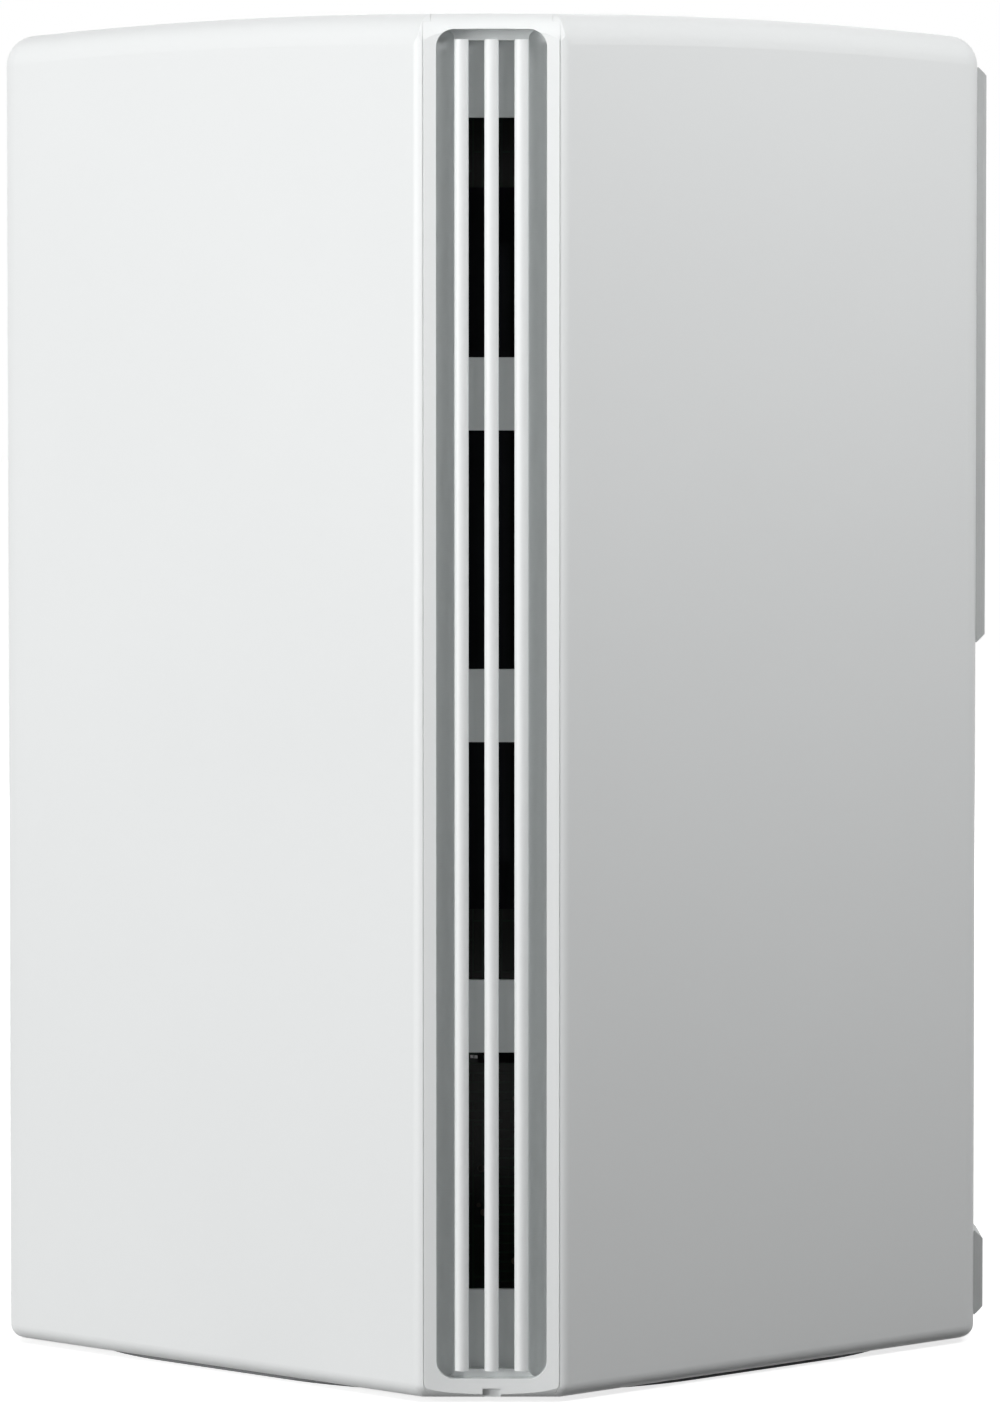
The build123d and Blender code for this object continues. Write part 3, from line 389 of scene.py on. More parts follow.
@dataclass(frozen=True)
class SolderMask(Finish):
    """A glass-epoxy board under solder mask: tracks show as a lighter relief beneath
    the lacquer, and vias as small bright rings."""

    relief_mm: float = 0.03
    relief_strength: float = 0.6
    zone_mm: float = 17.0  # a patch of the board whose tracks run one way
    lacquer_mm: float = 20.0
    coat: float = 0.4
    coat_roughness: float = 0.2
    track_long_mm: float = 7.0
    track_pitch_mm: float = 1.3
    track_gap_mm: float = 0.16
    via_pitch_mm: float = 4.2
    via_radius: float = 0.13
    track_colour: str = "123A25"
    via_colour: str = "5E5C50"

    def tracks(self, tree: Tree, place: Socket, turn: float) -> Socket:
        """Straight runs in one direction over the board's X-Z plane.

        Args:
            tree: the material's node tree.
            place: the object coordinates.
            turn: the direction of the runs, in radians from X.

        Returns:
            One where there is a track and zero elsewhere.
        """
        flat = add_node(
            tree,
            "ShaderNodeMapping",
            {"Vector": place, "Rotation": (math.pi / 2, 0.0, turn)},
        ).outputs[0]
        grid = add_node(
            tree,
            "ShaderNodeTexBrick",
            {
                "Vector": flat,
                "Scale": 1.0,
                "Mortar Size": self.track_gap_mm * MM,
                "Mortar Smooth": 0.1,
                "Brick Width": self.track_long_mm * MM,
                "Row Height": self.track_pitch_mm * MM,
            },
            offset=0.37,
            offset_frequency=3,
        )
        return grid.outputs["Fac"]

    def paint(self, tree: Tree, shader: Node, place: Socket) -> None:
        """Two directions of track take turns over the board, with vias between.

        Args:
            tree: the material's node tree.
            shader: its Principled shader.
            place: the object coordinates.
        """
        zones = add_node(
            tree,
            "ShaderNodeTexVoronoi",
            {"Vector": place, "Scale": per_metre(self.zone_mm)},
            distance="CHEBYCHEV",
        ).outputs["Color"]
        choice = add_node(
            tree, "ShaderNodeMath", {0: zones, 1: 0.5}, operation="GREATER_THAN"
        ).outputs[0]
        track = add_node(
            tree,
            "ShaderNodeMix",
            {
                0: choice,
                2: self.tracks(tree, place, 0.0),
                3: self.tracks(tree, place, math.pi / 2),
            },
        ).outputs[0]
        lacquer = add_node(
            tree,
            "ShaderNodeTexNoise",
            {"Vector": place, "Scale": per_metre(self.lacquer_mm), "Detail": 3.0},
        ).outputs[0]
        under = self.drift(tree, shader, lacquer)
        covered = add_node(
            tree,
            "ShaderNodeMix",
            {0: track, 6: under, 7: linear(self.track_colour)},
            data_type="RGBA",
        ).outputs[2]
        spots = add_node(
            tree,
            "ShaderNodeTexVoronoi",
            {"Vector": place, "Scale": per_metre(self.via_pitch_mm), "Randomness": 0.9},
        ).outputs["Distance"]
        via = add_node(
            tree, "ShaderNodeMath", {0: spots, 1: self.via_radius}, operation="LESS_THAN"
        ).outputs[0]
        dotted = add_node(
            tree,
            "ShaderNodeMix",
            {0: via, 6: covered, 7: linear(self.via_colour)},
            data_type="RGBA",
        ).outputs[2]
        tree.links.new(dotted, shader.inputs["Base Color"])
        self.vary_roughness(tree, shader, lacquer)
        self.raise_relief(tree, shader, track)
        shader.inputs["Coat Weight"].default_value = self.coat
        shader.inputs["Coat Roughness"].default_value = self.coat_roughness


@dataclass(frozen=True)
class WovenLaminate(Finish):
    """Glass cloth in resin, or in silicone: the weave shows faintly through it. It is
    drawn about six times as coarse as its thread, because a real one is too fine to
    show."""

    spread: float = 0.06
    thread_mm: float = 0.5
    patch_mm: float = 8.0
    patch_share: float = 0.1
    ior: float = 1.5

    def paint(self, tree: Tree, shader: Node, place: Socket) -> None:
        """Two sets of bands, crossed, make the weave.

        Args:
            tree: the material's node tree.
            shader: its Principled shader.
            place: the object coordinates.
        """
        warp, weft = (
            add_node(
                tree,
                "ShaderNodeTexWave",
                {
                    "Vector": place,
                    "Scale": per_metre(self.thread_mm) / WAVE_TURN,
                    "Distortion": 0.4,
                },
                bands_direction=direction,
            ).outputs[1]
            for direction in ("DIAGONAL", "Z")
        )
        weave = add_node(
            tree, "ShaderNodeMath", {0: warp, 1: weft}, operation="MULTIPLY"
        ).outputs[0]
        patches = add_node(
            tree,
            "ShaderNodeTexNoise",
            {"Vector": place, "Scale": per_metre(self.patch_mm), "Detail": 3.0},
        ).outputs[0]
        blend = add_node(
            tree,
            "ShaderNodeMath",
            {0: weave, 1: patches, 2: self.patch_share},
            operation="MULTIPLY_ADD",
        ).outputs[0]
        self.drift(tree, shader, blend)
        self.vary_roughness(tree, shader, weave)
        self.raise_relief(tree, shader, weave)
        shader.inputs["IOR"].default_value = self.ior


@dataclass(frozen=True)
class OpenCellFoam(Finish):
    """Polyurethane foam: dark cells in a paler skeleton."""

    spread: float = 0.04
    relief_mm: float = -0.2  # the cells are sunk below their skeleton
    relief_strength: float = 0.8
    cell_mm: float = 0.6
    wall_span: tuple[float, float] = (0.02, 0.25)

    def paint(self, tree: Tree, shader: Node, place: Socket) -> None:
        """The distance to a cell's wall drives the colour and the relief.

        Args:
            tree: the material's node tree.
            shader: its Principled shader.
            place: the object coordinates.
        """
        cells = add_node(
            tree,
            "ShaderNodeTexVoronoi",
            {"Vector": place, "Scale": per_metre(self.cell_mm)},
            feature="DISTANCE_TO_EDGE",
        ).outputs["Distance"]
        wall, inside = self.wall_span
        open_cell = add_node(
            tree, "ShaderNodeMapRange", {0: cells, 1: wall, 2: inside}
        ).outputs[0]
        self.drift(tree, shader, open_cell)
        self.vary_roughness(tree, shader, cells)
        self.raise_relief(tree, shader, open_cell)


@dataclass(frozen=True)
class ClearAcrylic(Finish):
    """Moulded acrylic: clear, with the faint ripple of its mould."""

    spread: float = 0.08
    relief_strength: float = 0.3
    ripple_mm: float = 1.2
    ior: float = 1.49
    clearness: float = 0.75

    def paint(self, tree: Tree, shader: Node, place: Socket) -> None:
        """A slow ripple breaks up the gloss.

        Args:
            tree: the material's node tree.
            shader: its Principled shader.
            place: the object coordinates.
        """
        ripple = add_node(
            tree,
            "ShaderNodeTexNoise",
            {"Vector": place, "Scale": per_metre(self.ripple_mm), "Detail": 2.0},
        ).outputs[0]
        self.drift(tree, shader, ripple)
        self.vary_roughness(tree, shader, ripple)
        self.raise_relief(tree, shader, ripple)
        shader.inputs["IOR"].default_value = self.ior
        shader.inputs["Transmission Weight"].default_value = self.clearness


@dataclass(frozen=True)
class PressedPowder(Finish):
    """Ferrite or ceramic pressed from powder: dull and speckled."""

    spread: float = 0.08
    speck_mm: float = 0.25

    def paint(self, tree: Tree, shader: Node, place: Socket) -> None:
        """Specks drive the colour, the roughness and the relief.

        Args:
            tree: the material's node tree.
            shader: its Principled shader.
            place: the object coordinates.
        """
        specks = add_node(
            tree,
            "ShaderNodeTexVoronoi",
            {"Vector": place, "Scale": per_metre(self.speck_mm)},
        ).outputs["Distance"]
        self.drift(tree, shader, specks)
        self.vary_roughness(tree, shader, specks)
        self.raise_relief(tree, shader, specks)


@dataclass(frozen=True)
class MarkedCan(Finish):
    """A drawn aluminium can with a dark band that shows its polarity."""

    spread: float = 0.06
    relief_mm: float = 0.01
    relief_strength: float = 0.3
    brushed_mm: float = 0.8
    band_colour: str = "1C1D20"
    first_mm: float = 43.0  # the first can's middle, along X
    pitch_mm: float = 8.5
    band_mm: float = 1.5

    def paint(self, tree: Tree, shader: Node, place: Socket) -> None:
        """The band covers a strip along one side of each can in the row.

        Args:
            tree: the material's node tree.
            shader: its Principled shader.
            place: the object coordinates.
        """
        axes = add_node(tree, "ShaderNodeSeparateXYZ", {0: place}).outputs
        offset = add_node(
            tree,
            "ShaderNodeMath",
            {0: axes[0], 1: (self.pitch_mm / 2 - self.first_mm) * MM},
            operation="ADD",
        ).outputs[0]
        within = add_node(
            tree,
            "ShaderNodeMath",
            {0: offset, 1: self.pitch_mm * MM},
            operation="FLOORED_MODULO",
        ).outputs[0]
        band = add_node(
            tree,
            "ShaderNodeMath",
            {0: within, 1: (self.pitch_mm / 2 - self.band_mm) * MM},
            operation="LESS_THAN",
        ).outputs[0]
        brushed = add_node(
            tree,
            "ShaderNodeTexNoise",
            {"Vector": place, "Scale": per_metre(self.brushed_mm), "Detail": 4.0},
        ).outputs[0]
        metal = self.drift(tree, shader, brushed)
        marked = add_node(
            tree,
            "ShaderNodeMix",
            {0: band, 6: metal, 7: linear(self.band_colour)},
            data_type="RGBA",
        ).outputs[2]
        tree.links.new(marked, shader.inputs["Base Color"])
        bare = add_node(
            tree, "ShaderNodeMath", {0: 1.0, 1: band}, operation="SUBTRACT"
        ).outputs[0]
        tree.links.new(bare, shader.inputs["Metallic"])
        self.vary_roughness(tree, shader, brushed)
        self.raise_relief(tree, shader, brushed)


# ABS with polycarbonate, moulded and left satin: a clean white that leans cool.
CASING_WHITE = MouldedPlastic("ABS_casing_satin_white", "F0F2F2", "ECEEEE", 0.42)
# The casing's plastic on the vents: white on the lip and the ribs' noses, with painted shade
# greying the recess below.
VENT_WHITE = RecessedPlastic("ABS_vent_satin_white", "F0F2F2", "ECEEEE", 0.42)
# The same plastic as the casing in light grey, round the ports.
PANEL_GREY = MouldedPlastic("ABS_port_panel_grey", "C4C6C6", "BEC0C0", 0.48)
# Silicone rubber with a dull bloom.
FOOT_RUBBER = CastRubber("Silicone_foot_grey", "86888A", "929495", 0.78)
# Zinc-plated steel: bright with a bluish mottle.
SCREW_STEEL = WorkedMetal(
    "Zinc_plated_screw_steel", "B9BCC2", "A3A6AE", 0.32, mottle_mm=1.5
)
# ABS in near black, with a coarse mould texture, for a part that is never seen.
CHASSIS_PLASTIC = MouldedPlastic(
    "ABS_chassis_charcoal", "2A2C2E", "242628", 0.6, grain_mm=0.6, relief_mm=0.03
)
# Green solder mask over copper and glass epoxy.
CIRCUIT_BOARD = SolderMask("Glass_epoxy_board_green", "0B2A19", "08210F", 0.4)
# Epoxy moulding compound: a grainy black.
CHIP_BLACK = MouldedPlastic(
    "Epoxy_chip_black", "1B1C1D", "232425", 0.62, grain_mm=0.25, flow_mm=6.0
)
# Tin-plated steel sheet, rolled, with a frosty mottle.
TINNED_STEEL = WorkedMetal(
    "Tin_plated_sheet_steel", "C9CACB", "B5B7B8", 0.3, streaks=(1.0, 1.0, 0.05)
)
# Extruded aluminium, anodised black: fine lines along the fins.
HEATSINK = WorkedMetal(
    "Anodised_aluminium_black", "2B2D30", "35373B", 0.5, streaks=(1.0, 1.0, 0.03), streak_mm=0.5
)
# Silicone thermal pad on glass cloth.
THERMAL_PAD = WovenLaminate("Silicone_thermal_pad_blue", "7E94A8", "6E8499", 0.8)
# Polyamide for the sockets, black and a little glossy.
SOCKET_PLASTIC = MouldedPlastic(
    "Polyamide_socket_black", "17181A", "1D1E20", 0.4, grain_mm=0.3, relief_mm=0.006
)
# Gold flash over nickel on the spring contacts.
GOLD_CONTACT = WorkedMetal(
    "Gold_plated_contact", "E2C07A", "D6B06A", 0.22, streaks=(0.05, 1.0, 1.0), mottle_mm=2.0
)
# Nickel plating on the inlet's pin.
INLET_METAL = WorkedMetal(
    "Nickel_plated_pin", "C6C4BE", "B4B2AC", 0.25, streaks=(0.05, 1.0, 1.0), mottle_mm=1.5
)
# The casing's white, on a cap polished by fingers.
BUTTON_WHITE = MouldedPlastic("ABS_button_white", "EDEFEF", "E6E8E8", 0.36, flow_mm=9.0)
# Glass-filled nylon of a switch's housing.
SWITCH_BODY = MouldedPlastic(
    "Nylon_switch_housing_black", "202123", "292A2C", 0.55, flow_mm=5.0
)
# Polyacetal plungers: waxy, off-white.
SWITCH_PLUNGER = MouldedPlastic(
    "Acetal_plunger_ivory", "D9D6CC", "CFCBC0", 0.38, flow_mm=4.0, ior=1.48
)
# Clear acrylic light guide.
LIGHT_GUIDE = ClearAcrylic("Acrylic_light_guide_clear", "EEF2F4", "E4EAEC", 0.18)
# White ceramic-filled package of a side-firing LED.
LED_PACKAGE = MouldedPlastic(
    "LED_package_white", "F2EFD8", "EFE3A8", 0.4, grain_mm=0.2, flow_mm=2.0
)
# Drawn aluminium cans with their dark polarity band.
CAPACITOR_CAN = MarkedCan("Aluminium_capacitor_can", "C2C4C6", "B2B4B7", 0.3)
# Ferrite powder in resin.
FERRITE = PressedPowder("Ferrite_inductor_grey", "3B3C3E", "505254", 0.7)
# Barium titanate ceramic of the smallest capacitors.
CERAMIC_TAN = PressedPowder("Ceramic_capacitor_tan", "9A7C5C", "8A6C4E", 0.5, speck_mm=0.15)
# Glass epoxy of the antennas, in white mask.
ANTENNA_BOARD = WovenLaminate("Glass_epoxy_antenna_board", "CFC9A8", "BDB693", 0.5)
# Rolled copper under clear lacquer.
COPPER = WorkedMetal(
    "Copper_radiator_lacquered", "C98A63", "B87A55", 0.35, streaks=(1.0, 1.0, 0.1)
)
# Black polyurethane foam tape.
FOAM = OpenCellFoam("Polyurethane_foam_charcoal", "4A4B4D", "262729", 0.9)
# Fluoropolymer jacket: grey and slightly waxy.
LEAD_JACKET = MouldedPlastic(
    "Fluoropolymer_lead_grey", "6E7072", "626466", 0.35, grain_mm=0.4, flow_mm=7.0, ior=1.35
)
# Gold-flashed brass of the coaxial plugs.
COAX_BRASS = WorkedMetal("Brass_coaxial_plug", "D9C07E", "C7AC68", 0.28, mottle_mm=1.0)
# Solder: soft bright metal with a frosted skin.
SOLDER = WorkedMetal("Tin_solder", "D2D3D4", "C2C4C5", 0.28, mottle_mm=0.8, relief_mm=0.02)


# ------------------------------------------------------------------ pieces
def dress(finish: Finish, *nodes: str) -> None:
    """Gives solids a finish.

    Args:
        finish: the finish that they take.
        nodes: the names of the solids.
    """
    for name in nodes:
        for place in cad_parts[name].material_slots:
            place.material = finish.material()
    LOG.info("%s: %s", finish.name, ", ".join(nodes))


def add_piece(
    name: str,
    shape: bmesh.types.BMesh,
    finishes: Iterable[Finish],
    body: Body,
) -> bpy.types.Object:
    """Turns a finished shape into a piece that rides on a body.

    Args:
        name: the piece's name.
        shape: its geometry, in metres, in place. It is freed.
        finishes: its finishes, in the order of the faces' material numbers.
        body: what it moves with.

    Returns:
        The new object.
    """
    bmesh.ops.recalc_face_normals(shape, faces=shape.faces)
    mesh = bpy.data.meshes.new(name)
    shape.to_mesh(mesh)
    shape.free()
    for finish in finishes:
        mesh.materials.append(finish.material())
    piece = bpy.data.objects.new(name, mesh)
    bpy.context.scene.collection.objects.link(piece)
    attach(piece, body.value)
    LOG.info("%s: %d faces", name, len(mesh.polygons))
    return piece


def add_brick(
    shape: bmesh.types.BMesh,
    low: tuple[float, float, float],
    high: tuple[float, float, float],
    number: int = 0,
    edge: float = 0.0,
) -> None:
    """Adds a block with rounded edges between two corners.

    Args:
        shape: the geometry that takes it.
        low: its lowest corner.
        high: its highest corner.
        number: the material number of its faces.
        edge: the width of the bevel on its edges.
    """
    middle = [(a + b) / 2 for a, b in zip(low, high)]
    spans = [b - a for a, b in zip(low, high)]
    place = Matrix.Translation(middle) @ Matrix.Diagonal((*spans, 1.0))
    made = bmesh.ops.create_cube(shape, size=1.0, matrix=place)
    faces = {face for vertex in made["verts"] for face in vertex.link_faces}
    for face in faces:
        face.material_index = number
    if edge > 0:
        bmesh.ops.bevel(
            shape,
            geom=list({e for vertex in made["verts"] for e in vertex.link_edges}),
            offset=edge,
            offset_type="OFFSET",
            affect="EDGES",
            segments=1,
            profile=0.5,
            material=-1,
        )


# ------------------------------------------------------------------ sub-assemblies
@dataclass
class Casing:
    """The white shell, its vent inserts, the base cover, the foot and the base's screws."""

    def build(self) -> None:
        """Dresses the casing."""
        dress(CASING_WHITE, "outer_shell", "base_cover")
        dress(VENT_WHITE, "front_vent", "rear_vent")
        dress(FOOT_RUBBER, "foot_ring")
        dress(SCREW_STEEL, "base_screws")


@dataclass
class PortPanel:
    """The grey strip on the +X corner, with its sockets, inlet and buttons."""

    sockets: int = 4

    def build(self) -> None:
        """Dresses the panel and all that shows in it."""
        dress(PANEL_GREY, "port_panel")
        dress(SOCKET_PLASTIC, *(f"network_socket_{i + 1}" for i in range(self.sockets)))
        dress(SOCKET_PLASTIC, "power_inlet")
        dress(GOLD_CONTACT, "socket_contacts")
        dress(INLET_METAL, "inlet_pin")
        dress(BUTTON_WHITE, "mesh_button")
        dress(SWITCH_BODY, "mesh_switch", "reset_switch")
        dress(SWITCH_PLUNGER, "mesh_plunger", "reset_plunger")


@dataclass
class StatusLights:
    """The light guide on the -X corner and the LEDs behind it."""

    def build(self) -> None:
        """Dresses the lights."""
        dress(LIGHT_GUIDE, "light_pipe")
        dress(LED_PACKAGE, "status_leds")


@dataclass
class Chassis:
    """The plastic frame that carries the board, and its screws."""

    def build(self) -> None:
        """Dresses the chassis."""
        dress(CHASSIS_PLASTIC, "chassis")
        dress(SCREW_STEEL, "chassis_screws", "board_screws")


@dataclass
class Cooling:
    """The finned heatsink, the rear plate and the pads between them and the chips."""

    def build(self) -> None:
        """Dresses the cooling parts."""
        dress(HEATSINK, "heatsink", "spreader_plate")
        dress(SCREW_STEEL, "heatsink_screws", "spreader_screws")
        dress(THERMAL_PAD, "thermal_pads", "spreader_pads")


@dataclass
class MainBoard:
    """The main board, its chips and shields, and the small parts soldered round them."""

    part_length: float = 1.6 * MM
    part_width: float = 0.8 * MM
    part_height: float = 0.6 * MM
    end_length: float = 0.35 * MM
    end_lap: float = 0.04 * MM
    seed: int = 7
    filled: float = 0.85  # the share of the places round a chip that hold a part
    margin: float = 2.6 * MM
    pins: int = 8
    solder_radius: float = 0.55 * MM
    solder_taper: float = 0.35
    solder_sides: int = 16
    solder_height: float = 0.5 * MM
    solder_pitch: float = 2.04 * MM
    solder_rows: tuple[float, float] = (7.0 * MM, 9.5 * MM)
    leads_a_side: int = 4
    lead_width: float = 0.4 * MM
    lead_thickness: float = 0.2 * MM
    lead_reach: float = 1.0 * MM
    lead_bends: tuple[float, float] = (0.4, 0.6)  # shares of the reach

    def build(self) -> None:
        """Dresses the board's solids and adds its small parts, leads and solder."""
        dress(CIRCUIT_BOARD, "main_board")
        dress(CHIP_BLACK, "processor", "switch_chip", "memory_chips", "flash_chip")
        dress(CHIP_BLACK, "network_magnetics")
        dress(TINNED_STEEL, "front_radio_shield", "rear_radio_shield_lower")
        dress(TINNED_STEEL, "rear_radio_shield_upper")
        dress(CAPACITOR_CAN, "power_capacitors")
        dress(FERRITE, "power_inductors")
        dress(COAX_BRASS, "coax_connectors")
        self.add_ring_parts("processor")
        self.add_ring_parts("switch_chip")
        self.add_socket_solder()
        self.add_flash_leads()

    def add_part(
        self, shape: bmesh.types.BMesh, x: float, z: float, face: float, upright: bool
    ) -> None:
        """Adds one chip capacitor with its two tinned ends.

        Args:
            shape: the geometry that takes it.
            x: its middle across the board.
            z: its middle up the board.
            face: the level of the board's face, which it stands on towards -Y.
            upright: whether its length runs up the board.
        """
        for number, half, lap in (
            (0, self.part_length / 2 - self.end_length, 0.0),
            (1, self.part_length / 2, self.end_lap),
        ):
            across = self.part_width / 2 + lap
            top = face - self.part_height - lap
            spans = ([-half, half],) if number == 0 else (
                [-half, -half + self.end_length],
                [half - self.end_length, half],
            )
            for start, end in spans:
                if upright:
                    low, high = (x - across, top, z + start), (x + across, face, z + end)
                else:
                    low, high = (x + start, top, z - across), (x + end, face, z + across)
                add_brick(shape, low, high, number)

    def add_ring_parts(self, chip: str) -> None:
        """Sets a ring of small capacitors round a chip.

        Args:
            chip: the name of the chip's solid.
        """
        low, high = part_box(chip)
        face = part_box("main_board")[0].y
        shape = bmesh.new()
        choice = Random(self.seed)
        step = self.part_length + self.part_width
        for side in (-1, 1):
            x = (high.x if side > 0 else low.x) + side * self.margin
            z = low.z
            while z < high.z:
                if choice.random() < self.filled:
                    self.add_part(shape, x, z, face, True)
                z += step
            z = (high.z if side > 0 else low.z) + side * self.margin
            x = low.x + step
            while x < high.x - step / 2:
                if choice.random() < self.filled:
                    self.add_part(shape, x, z, face, False)
                x += step
        finishes = (CERAMIC_TAN, SOLDER)
        add_piece(f"{chip}_capacitors", shape, finishes, Body.ROUTER)

    def add_socket_solder(self) -> None:
        """Adds the solder points of the sockets' pins on the board's back."""
        edge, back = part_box("main_board")[1].xy
        shape = bmesh.new()
        for index in range(PortPanel.sockets):
            low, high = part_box(f"network_socket_{index + 1}")
            middle = (low.z + high.z) / 2
            for pin in range(self.pins):
                x = edge - self.solder_rows[pin % 2]
                z = middle + (pin - (self.pins - 1) / 2) * self.solder_pitch / 2
                self.add_solder(shape, x, back, z)
        add_piece("socket_solder", shape, (SOLDER,), Body.ROUTER)

    def add_solder(self, shape: bmesh.types.BMesh, x: float, back: float, z: float) -> None:
        """Adds one cone of solder.

        Args:
            shape: the geometry that takes it.
            x: its middle across the board.
            back: the level of the board's back, which it stands on towards +Y.
            z: its middle up the board.
        """
        place = Matrix.Translation((x, back, z)) @ Matrix.Rotation(-math.pi / 2, 4, "X")
        bmesh.ops.create_cone(
            shape,
            cap_ends=True,
            segments=self.solder_sides,
            radius1=self.solder_radius,
            radius2=self.solder_radius * self.solder_taper,
            depth=self.solder_height,
            matrix=place @ Matrix.Translation((0, 0, self.solder_height / 2)),
        )

    def add_flash_leads(self) -> None:
        """Adds the gull-wing leads down both sides of the flash chip."""
        low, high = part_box("flash_chip")
        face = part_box("main_board")[0].y
        shape = bmesh.new()
        pitch = (high.z - low.z) / self.leads_a_side
        for side in (-1, 1):
            edge = high.x if side > 0 else low.x
            for index in range(self.leads_a_side):
                z = low.z + (index + 0.5) * pitch
                self.add_lead(shape, edge, side, face, z)
        add_piece("flash_chip_leads", shape, (SOLDER,), Body.ROUTER)

    def add_lead(
        self, shape: bmesh.types.BMesh, edge: float, side: int, face: float, z: float
    ) -> None:
        """Adds one lead that steps down from a chip's side to the board.

        Args:
            shape: the geometry that takes it.
            edge: the chip's side.
            side: one for the +X side and minus one for the other.
            face: the level of the board's face.
            z: the lead's middle up the board.
        """
        rise = (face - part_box("flash_chip")[0].y) / 2
        half = self.lead_width / 2
        first, second = self.lead_bends
        route = [
            (edge, face - rise),
            (edge + side * self.lead_reach * first, face - rise),
            (edge + side * self.lead_reach * second, face - self.lead_thickness),
            (edge + side * self.lead_reach, face - self.lead_thickness),
        ]
        row = [shape.verts.new((x, y, z - half)) for x, y in route]
        edges = [shape.edges.new(pair) for pair in zip(row, row[1:])]
        strip = bmesh.ops.extrude_edge_only(shape, edges=edges)["geom"]
        bmesh.ops.translate(
            shape,
            vec=(0, 0, self.lead_width),
            verts=[part for part in strip if isinstance(part, bmesh.types.BMVert)],
        )
        faces = [part for part in strip if isinstance(part, bmesh.types.BMFace)]
        sheet = bmesh.ops.extrude_face_region(shape, geom=faces)["geom"]
        bmesh.ops.translate(
            shape,
            vec=(0, self.lead_thickness, 0),
            verts=[part for part in sheet if isinstance(part, bmesh.types.BMVert)],
        )


@dataclass
class Antennas:
    """Four antenna boards on foam, each with its copper radiator and coaxial lead."""

    places: tuple[str, ...] = ("front_left", "front_right", "rear_left", "rear_right")
    board: float = 0.8 * MM
    copper: float = 0.03 * MM
    half_width: float = 7.0 * MM
    stem_width: float = 2.0 * MM
    arm_width: float = 1.6 * MM
    hook_length: float = 4.5 * MM
    ground: tuple[float, float] = (1.0 * MM, 6.5 * MM)
    arm_levels: tuple[float, ...] = (14.0 * MM, 22.0 * MM, 31.0 * MM, 41.0 * MM)
    stem_top: float = 48.0 * MM

    def build(self) -> None:
        """Dresses the antennas and their leads, and adds the copper."""
        dress(FOAM, "antenna_foam")
        for place in self.places:
            dress(ANTENNA_BOARD, f"antenna_{place}")
            dress(LEAD_JACKET, f"antenna_lead_{place}")
            self.add_copper(place)

    def runs(self) -> list[tuple[float, float, float, float]]:
        """The copper of one radiator: a ground patch, a stem and hooked arms.

        Returns:
            For each run, its two sides across the board and its foot and top, all from
            the middle of the board's lower edge.
        """
        stem = self.stem_width / 2
        runs = [(-self.half_width, self.half_width, *self.ground)]
        runs.append((-stem, stem, self.ground[1] + self.arm_width / 2, self.stem_top))
        for index, level in enumerate(self.arm_levels):
            side = -1 if index % 2 else 1
            tip = side * self.half_width
            root = side * stem
            runs.append((min(root, tip), max(root, tip), level, level + self.arm_width))
            inner = tip - side * self.arm_width
            foot = level + self.arm_width
            top = foot + self.hook_length
            runs.append((min(inner, tip), max(inner, tip), foot, top))
        return runs

    def add_copper(self, place: str) -> None:
        """Lays the radiator on the side of one antenna board that faces inwards.

        Args:
            place: which of the four antennas it is.
        """
        low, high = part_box(f"antenna_{place}")
        middle = (low + high) / 2
        face = math.hypot(middle.x, middle.y) - self.board / 2
        shape = bmesh.new()
        for left, right, foot, top in self.runs():
            add_brick(
                shape, (face - self.copper, left, low.z + foot), (face, right, low.z + top)
            )
        turn = Matrix.Rotation(math.atan2(middle.y, middle.x), 4, "Z")
        bmesh.ops.transform(shape, matrix=turn, verts=shape.verts)
        name = f"antenna_copper_{place}"
        add_piece(name, shape, (COPPER,), Body.ROUTER)


# ------------------------------------------------------------------ studio
@dataclass(frozen=True)
class SoftLight:
    """One soft box, wide and tall as given, aimed at a point of the object."""

    name: str
    place_mm: tuple[float, float, float]
    aim_mm: tuple[float, float, float]
    size_mm: tuple[float, float]
    watts: float
    glints: bool = False

    def build(self) -> bpy.types.Object:
        """Makes the light, which shows in gloss only where it is asked to.

        Returns:
            The lamp object.
        """
        lamp = bpy.data.lights.new(self.name, "AREA")
        lamp.shape = "RECTANGLE"
        lamp.size = self.size_mm[0] * MM
        lamp.size_y = self.size_mm[1] * MM
        lamp.energy = self.watts
        holder = bpy.data.objects.new(self.name, lamp)
        holder.location = Vector(self.place_mm) * MM
        aim = Vector(self.aim_mm) * MM - holder.location
        holder.rotation_euler = aim.to_track_quat("-Z", "Y").to_euler()
        holder.visible_glossy = self.glints
        bpy.context.scene.collection.objects.link(holder)
        return holder


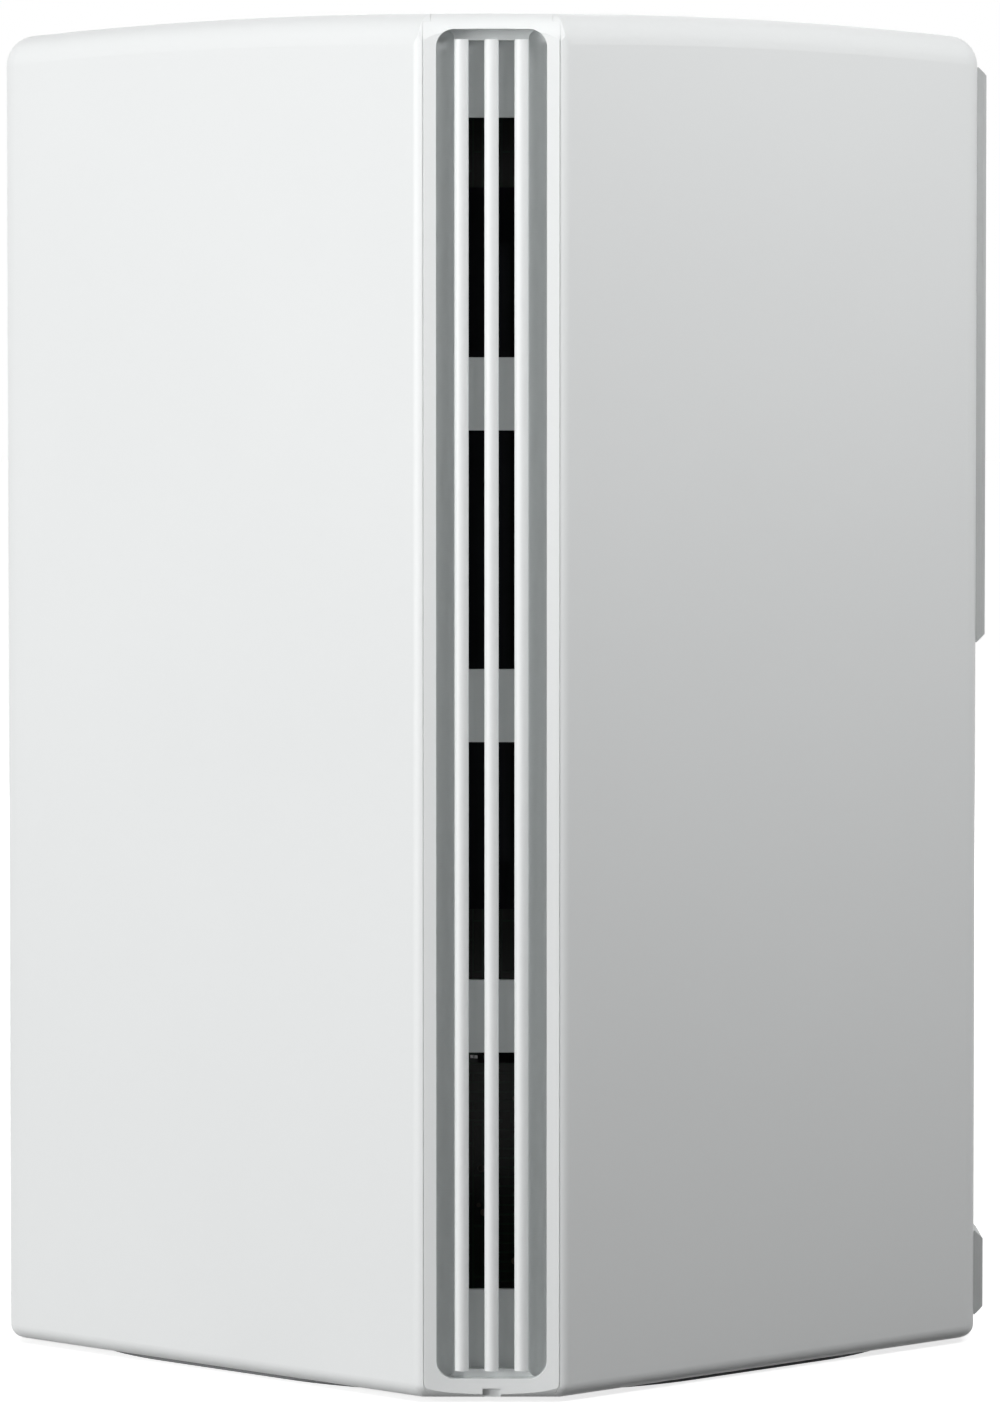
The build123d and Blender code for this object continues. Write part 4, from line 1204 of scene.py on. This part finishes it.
@dataclass
class Studio:
    """A white sweep: the floor, the world round it and the soft boxes."""

    floor_size: float = 12.0
    floor_colour: str = "C8C8C8"
    floor_bounce: str = "4C4C4C"  # what the floor throws back onto the object
    floor_roughness: float = 0.4
    floor_lift: tuple[float, float] = (0.76, 1.0)  # its glow under the object and far off
    floor_fade: tuple[float, float] = (0.25, 0.9)  # metres over which that glow grows
    lights: tuple[SoftLight, ...] = (
        SoftLight("left_low", (-900, -600, 150), (0, 0, 90), (500, 500), 8.1, True),
        SoftLight("left_front", (-480, -960, 200), (0, 0, 90), (500, 500), 1.6, True),
        SoftLight("left_up", (-350, -300, 600), (0, -40, 120), (300, 300), 1.26),
        SoftLight("right_front", (206, -238, 290), (45, -45, 113), (300, 60), 0.53),
        SoftLight("right_side", (270, -150, 290), (45, -45, 113), (300, 60), 0.28),
        SoftLight("back", (0, 1100, 550), (0, 0, 90), (600, 600), 12.0),
    )

    def build(self) -> None:
        """Makes the whole studio."""
        self.build_world()
        self.build_floor()
        for light in self.lights:
            light.build()
            LOG.info("light %s: %.2f W", light.name, light.watts)

    def seen(self, tree: Tree) -> Socket:
        """One for rays that come from the camera, or from gloss and glass.

        Args:
            tree: the node tree that takes the nodes.

        Returns:
            A value of one or zero.
        """
        path = add_node(tree, "ShaderNodeLightPath").outputs
        seen = path["Is Camera Ray"]
        for kind in ("Is Glossy Ray", "Is Transmission Ray"):
            seen = add_node(
                tree, "ShaderNodeMath", {0: seen, 1: path[kind]}, operation="MAXIMUM"
            ).outputs[0]
        return seen

    def build_world(self) -> None:
        """White for the eye and in gloss; the lamps alone light the object."""
        world = bpy.data.worlds.new("white_sweep")
        world.use_nodes = True
        tree = world.node_tree
        tree.nodes.clear()
        glow = add_node(
            tree,
            "ShaderNodeBackground",
            {"Color": (1.0, 1.0, 1.0, 1.0), "Strength": self.seen(tree)},
        )
        add_node(tree, "ShaderNodeOutputWorld", {"Surface": glow.outputs[0]})
        bpy.context.scene.world = world

    def build_floor(self) -> None:
        """A pale floor that the eye sees as white, with the object's shadow on it."""
        shape = bmesh.new()
        bmesh.ops.create_grid(shape, x_segments=1, y_segments=1, size=self.floor_size)
        mesh = bpy.data.meshes.new("floor")
        shape.to_mesh(mesh)
        shape.free()
        floor = bpy.data.objects.new("floor", mesh)
        bpy.context.scene.collection.objects.link(floor)
        paint = bpy.data.materials.new("Matt_floor_white")
        paint.use_nodes = True
        tree = paint.node_tree
        tree.nodes.clear()
        seen = self.seen(tree)
        shade = add_node(
            tree,
            "ShaderNodeMix",
            {0: seen, 6: linear(self.floor_bounce), 7: linear(self.floor_colour)},
            data_type="RGBA",
        ).outputs[2]
        matt = add_node(
            tree, "ShaderNodeBsdfDiffuse", {"Color": shade, "Roughness": self.floor_roughness}
        )
        place = add_node(tree, "ShaderNodeTexCoord").outputs["Object"]
        reach = add_node(
            tree, "ShaderNodeVectorMath", {0: place}, operation="LENGTH"
        ).outputs["Value"]
        near, far = self.floor_fade
        low, high = self.floor_lift
        lifted = add_node(
            tree, "ShaderNodeMapRange", {0: reach, 1: near, 2: far, 3: low, 4: high}
        ).outputs[0]
        strength = add_node(
            tree, "ShaderNodeMath", {0: seen, 1: lifted}, operation="MULTIPLY"
        ).outputs[0]
        lift = add_node(tree, "ShaderNodeEmission", {"Strength": strength})
        both = add_node(
            tree, "ShaderNodeAddShader", {0: matt.outputs[0], 1: lift.outputs[0]}
        )
        add_node(tree, "ShaderNodeOutputMaterial", {"Surface": both.outputs[0]})
        mesh.materials.append(paint)


@dataclass
class Viewpoint:
    """The camera: a long lens, a little above the object's middle, square to a corner."""

    place_mm: tuple[float, float, float] = (1.07, -927.1, 128.3)
    pitch_degrees: float = -2.656
    lens_mm: float = 173.44
    sensor_mm: float = 36.0
    clip: tuple[float, float] = (0.05, 50.0)  # the nearest and farthest metres it sees

    def build(self) -> bpy.types.Object:
        """Makes the camera and sets it on the scene.

        Returns:
            The camera object.
        """
        eye = bpy.data.cameras.new("viewpoint")
        eye.lens = self.lens_mm
        eye.sensor_width = self.sensor_mm
        eye.clip_start, eye.clip_end = self.clip
        holder = bpy.data.objects.new("viewpoint", eye)
        holder.location = Vector(self.place_mm) * MM
        holder.rotation_euler = (math.radians(90 + self.pitch_degrees), 0.0, 0.0)
        bpy.context.scene.collection.objects.link(holder)
        bpy.context.scene.camera = holder
        return holder


def main() -> None:
    """Builds the router's sub-assemblies in order, then the studio and the camera."""
    logging.basicConfig(level=logging.INFO, format="%(name)s %(message)s")
    assemblies = (
        Casing(),
        PortPanel(),
        StatusLights(),
        Chassis(),
        Cooling(),
        MainBoard(),
        Antennas(),
    )
    for assembly in assemblies:
        assembly.build()
        LOG.info("%s is done", type(assembly).__name__)
    Studio().build()
    Viewpoint().build()
    bpy.context.scene.view_settings.view_transform = "Standard"


if __name__ == "__main__":
    main()
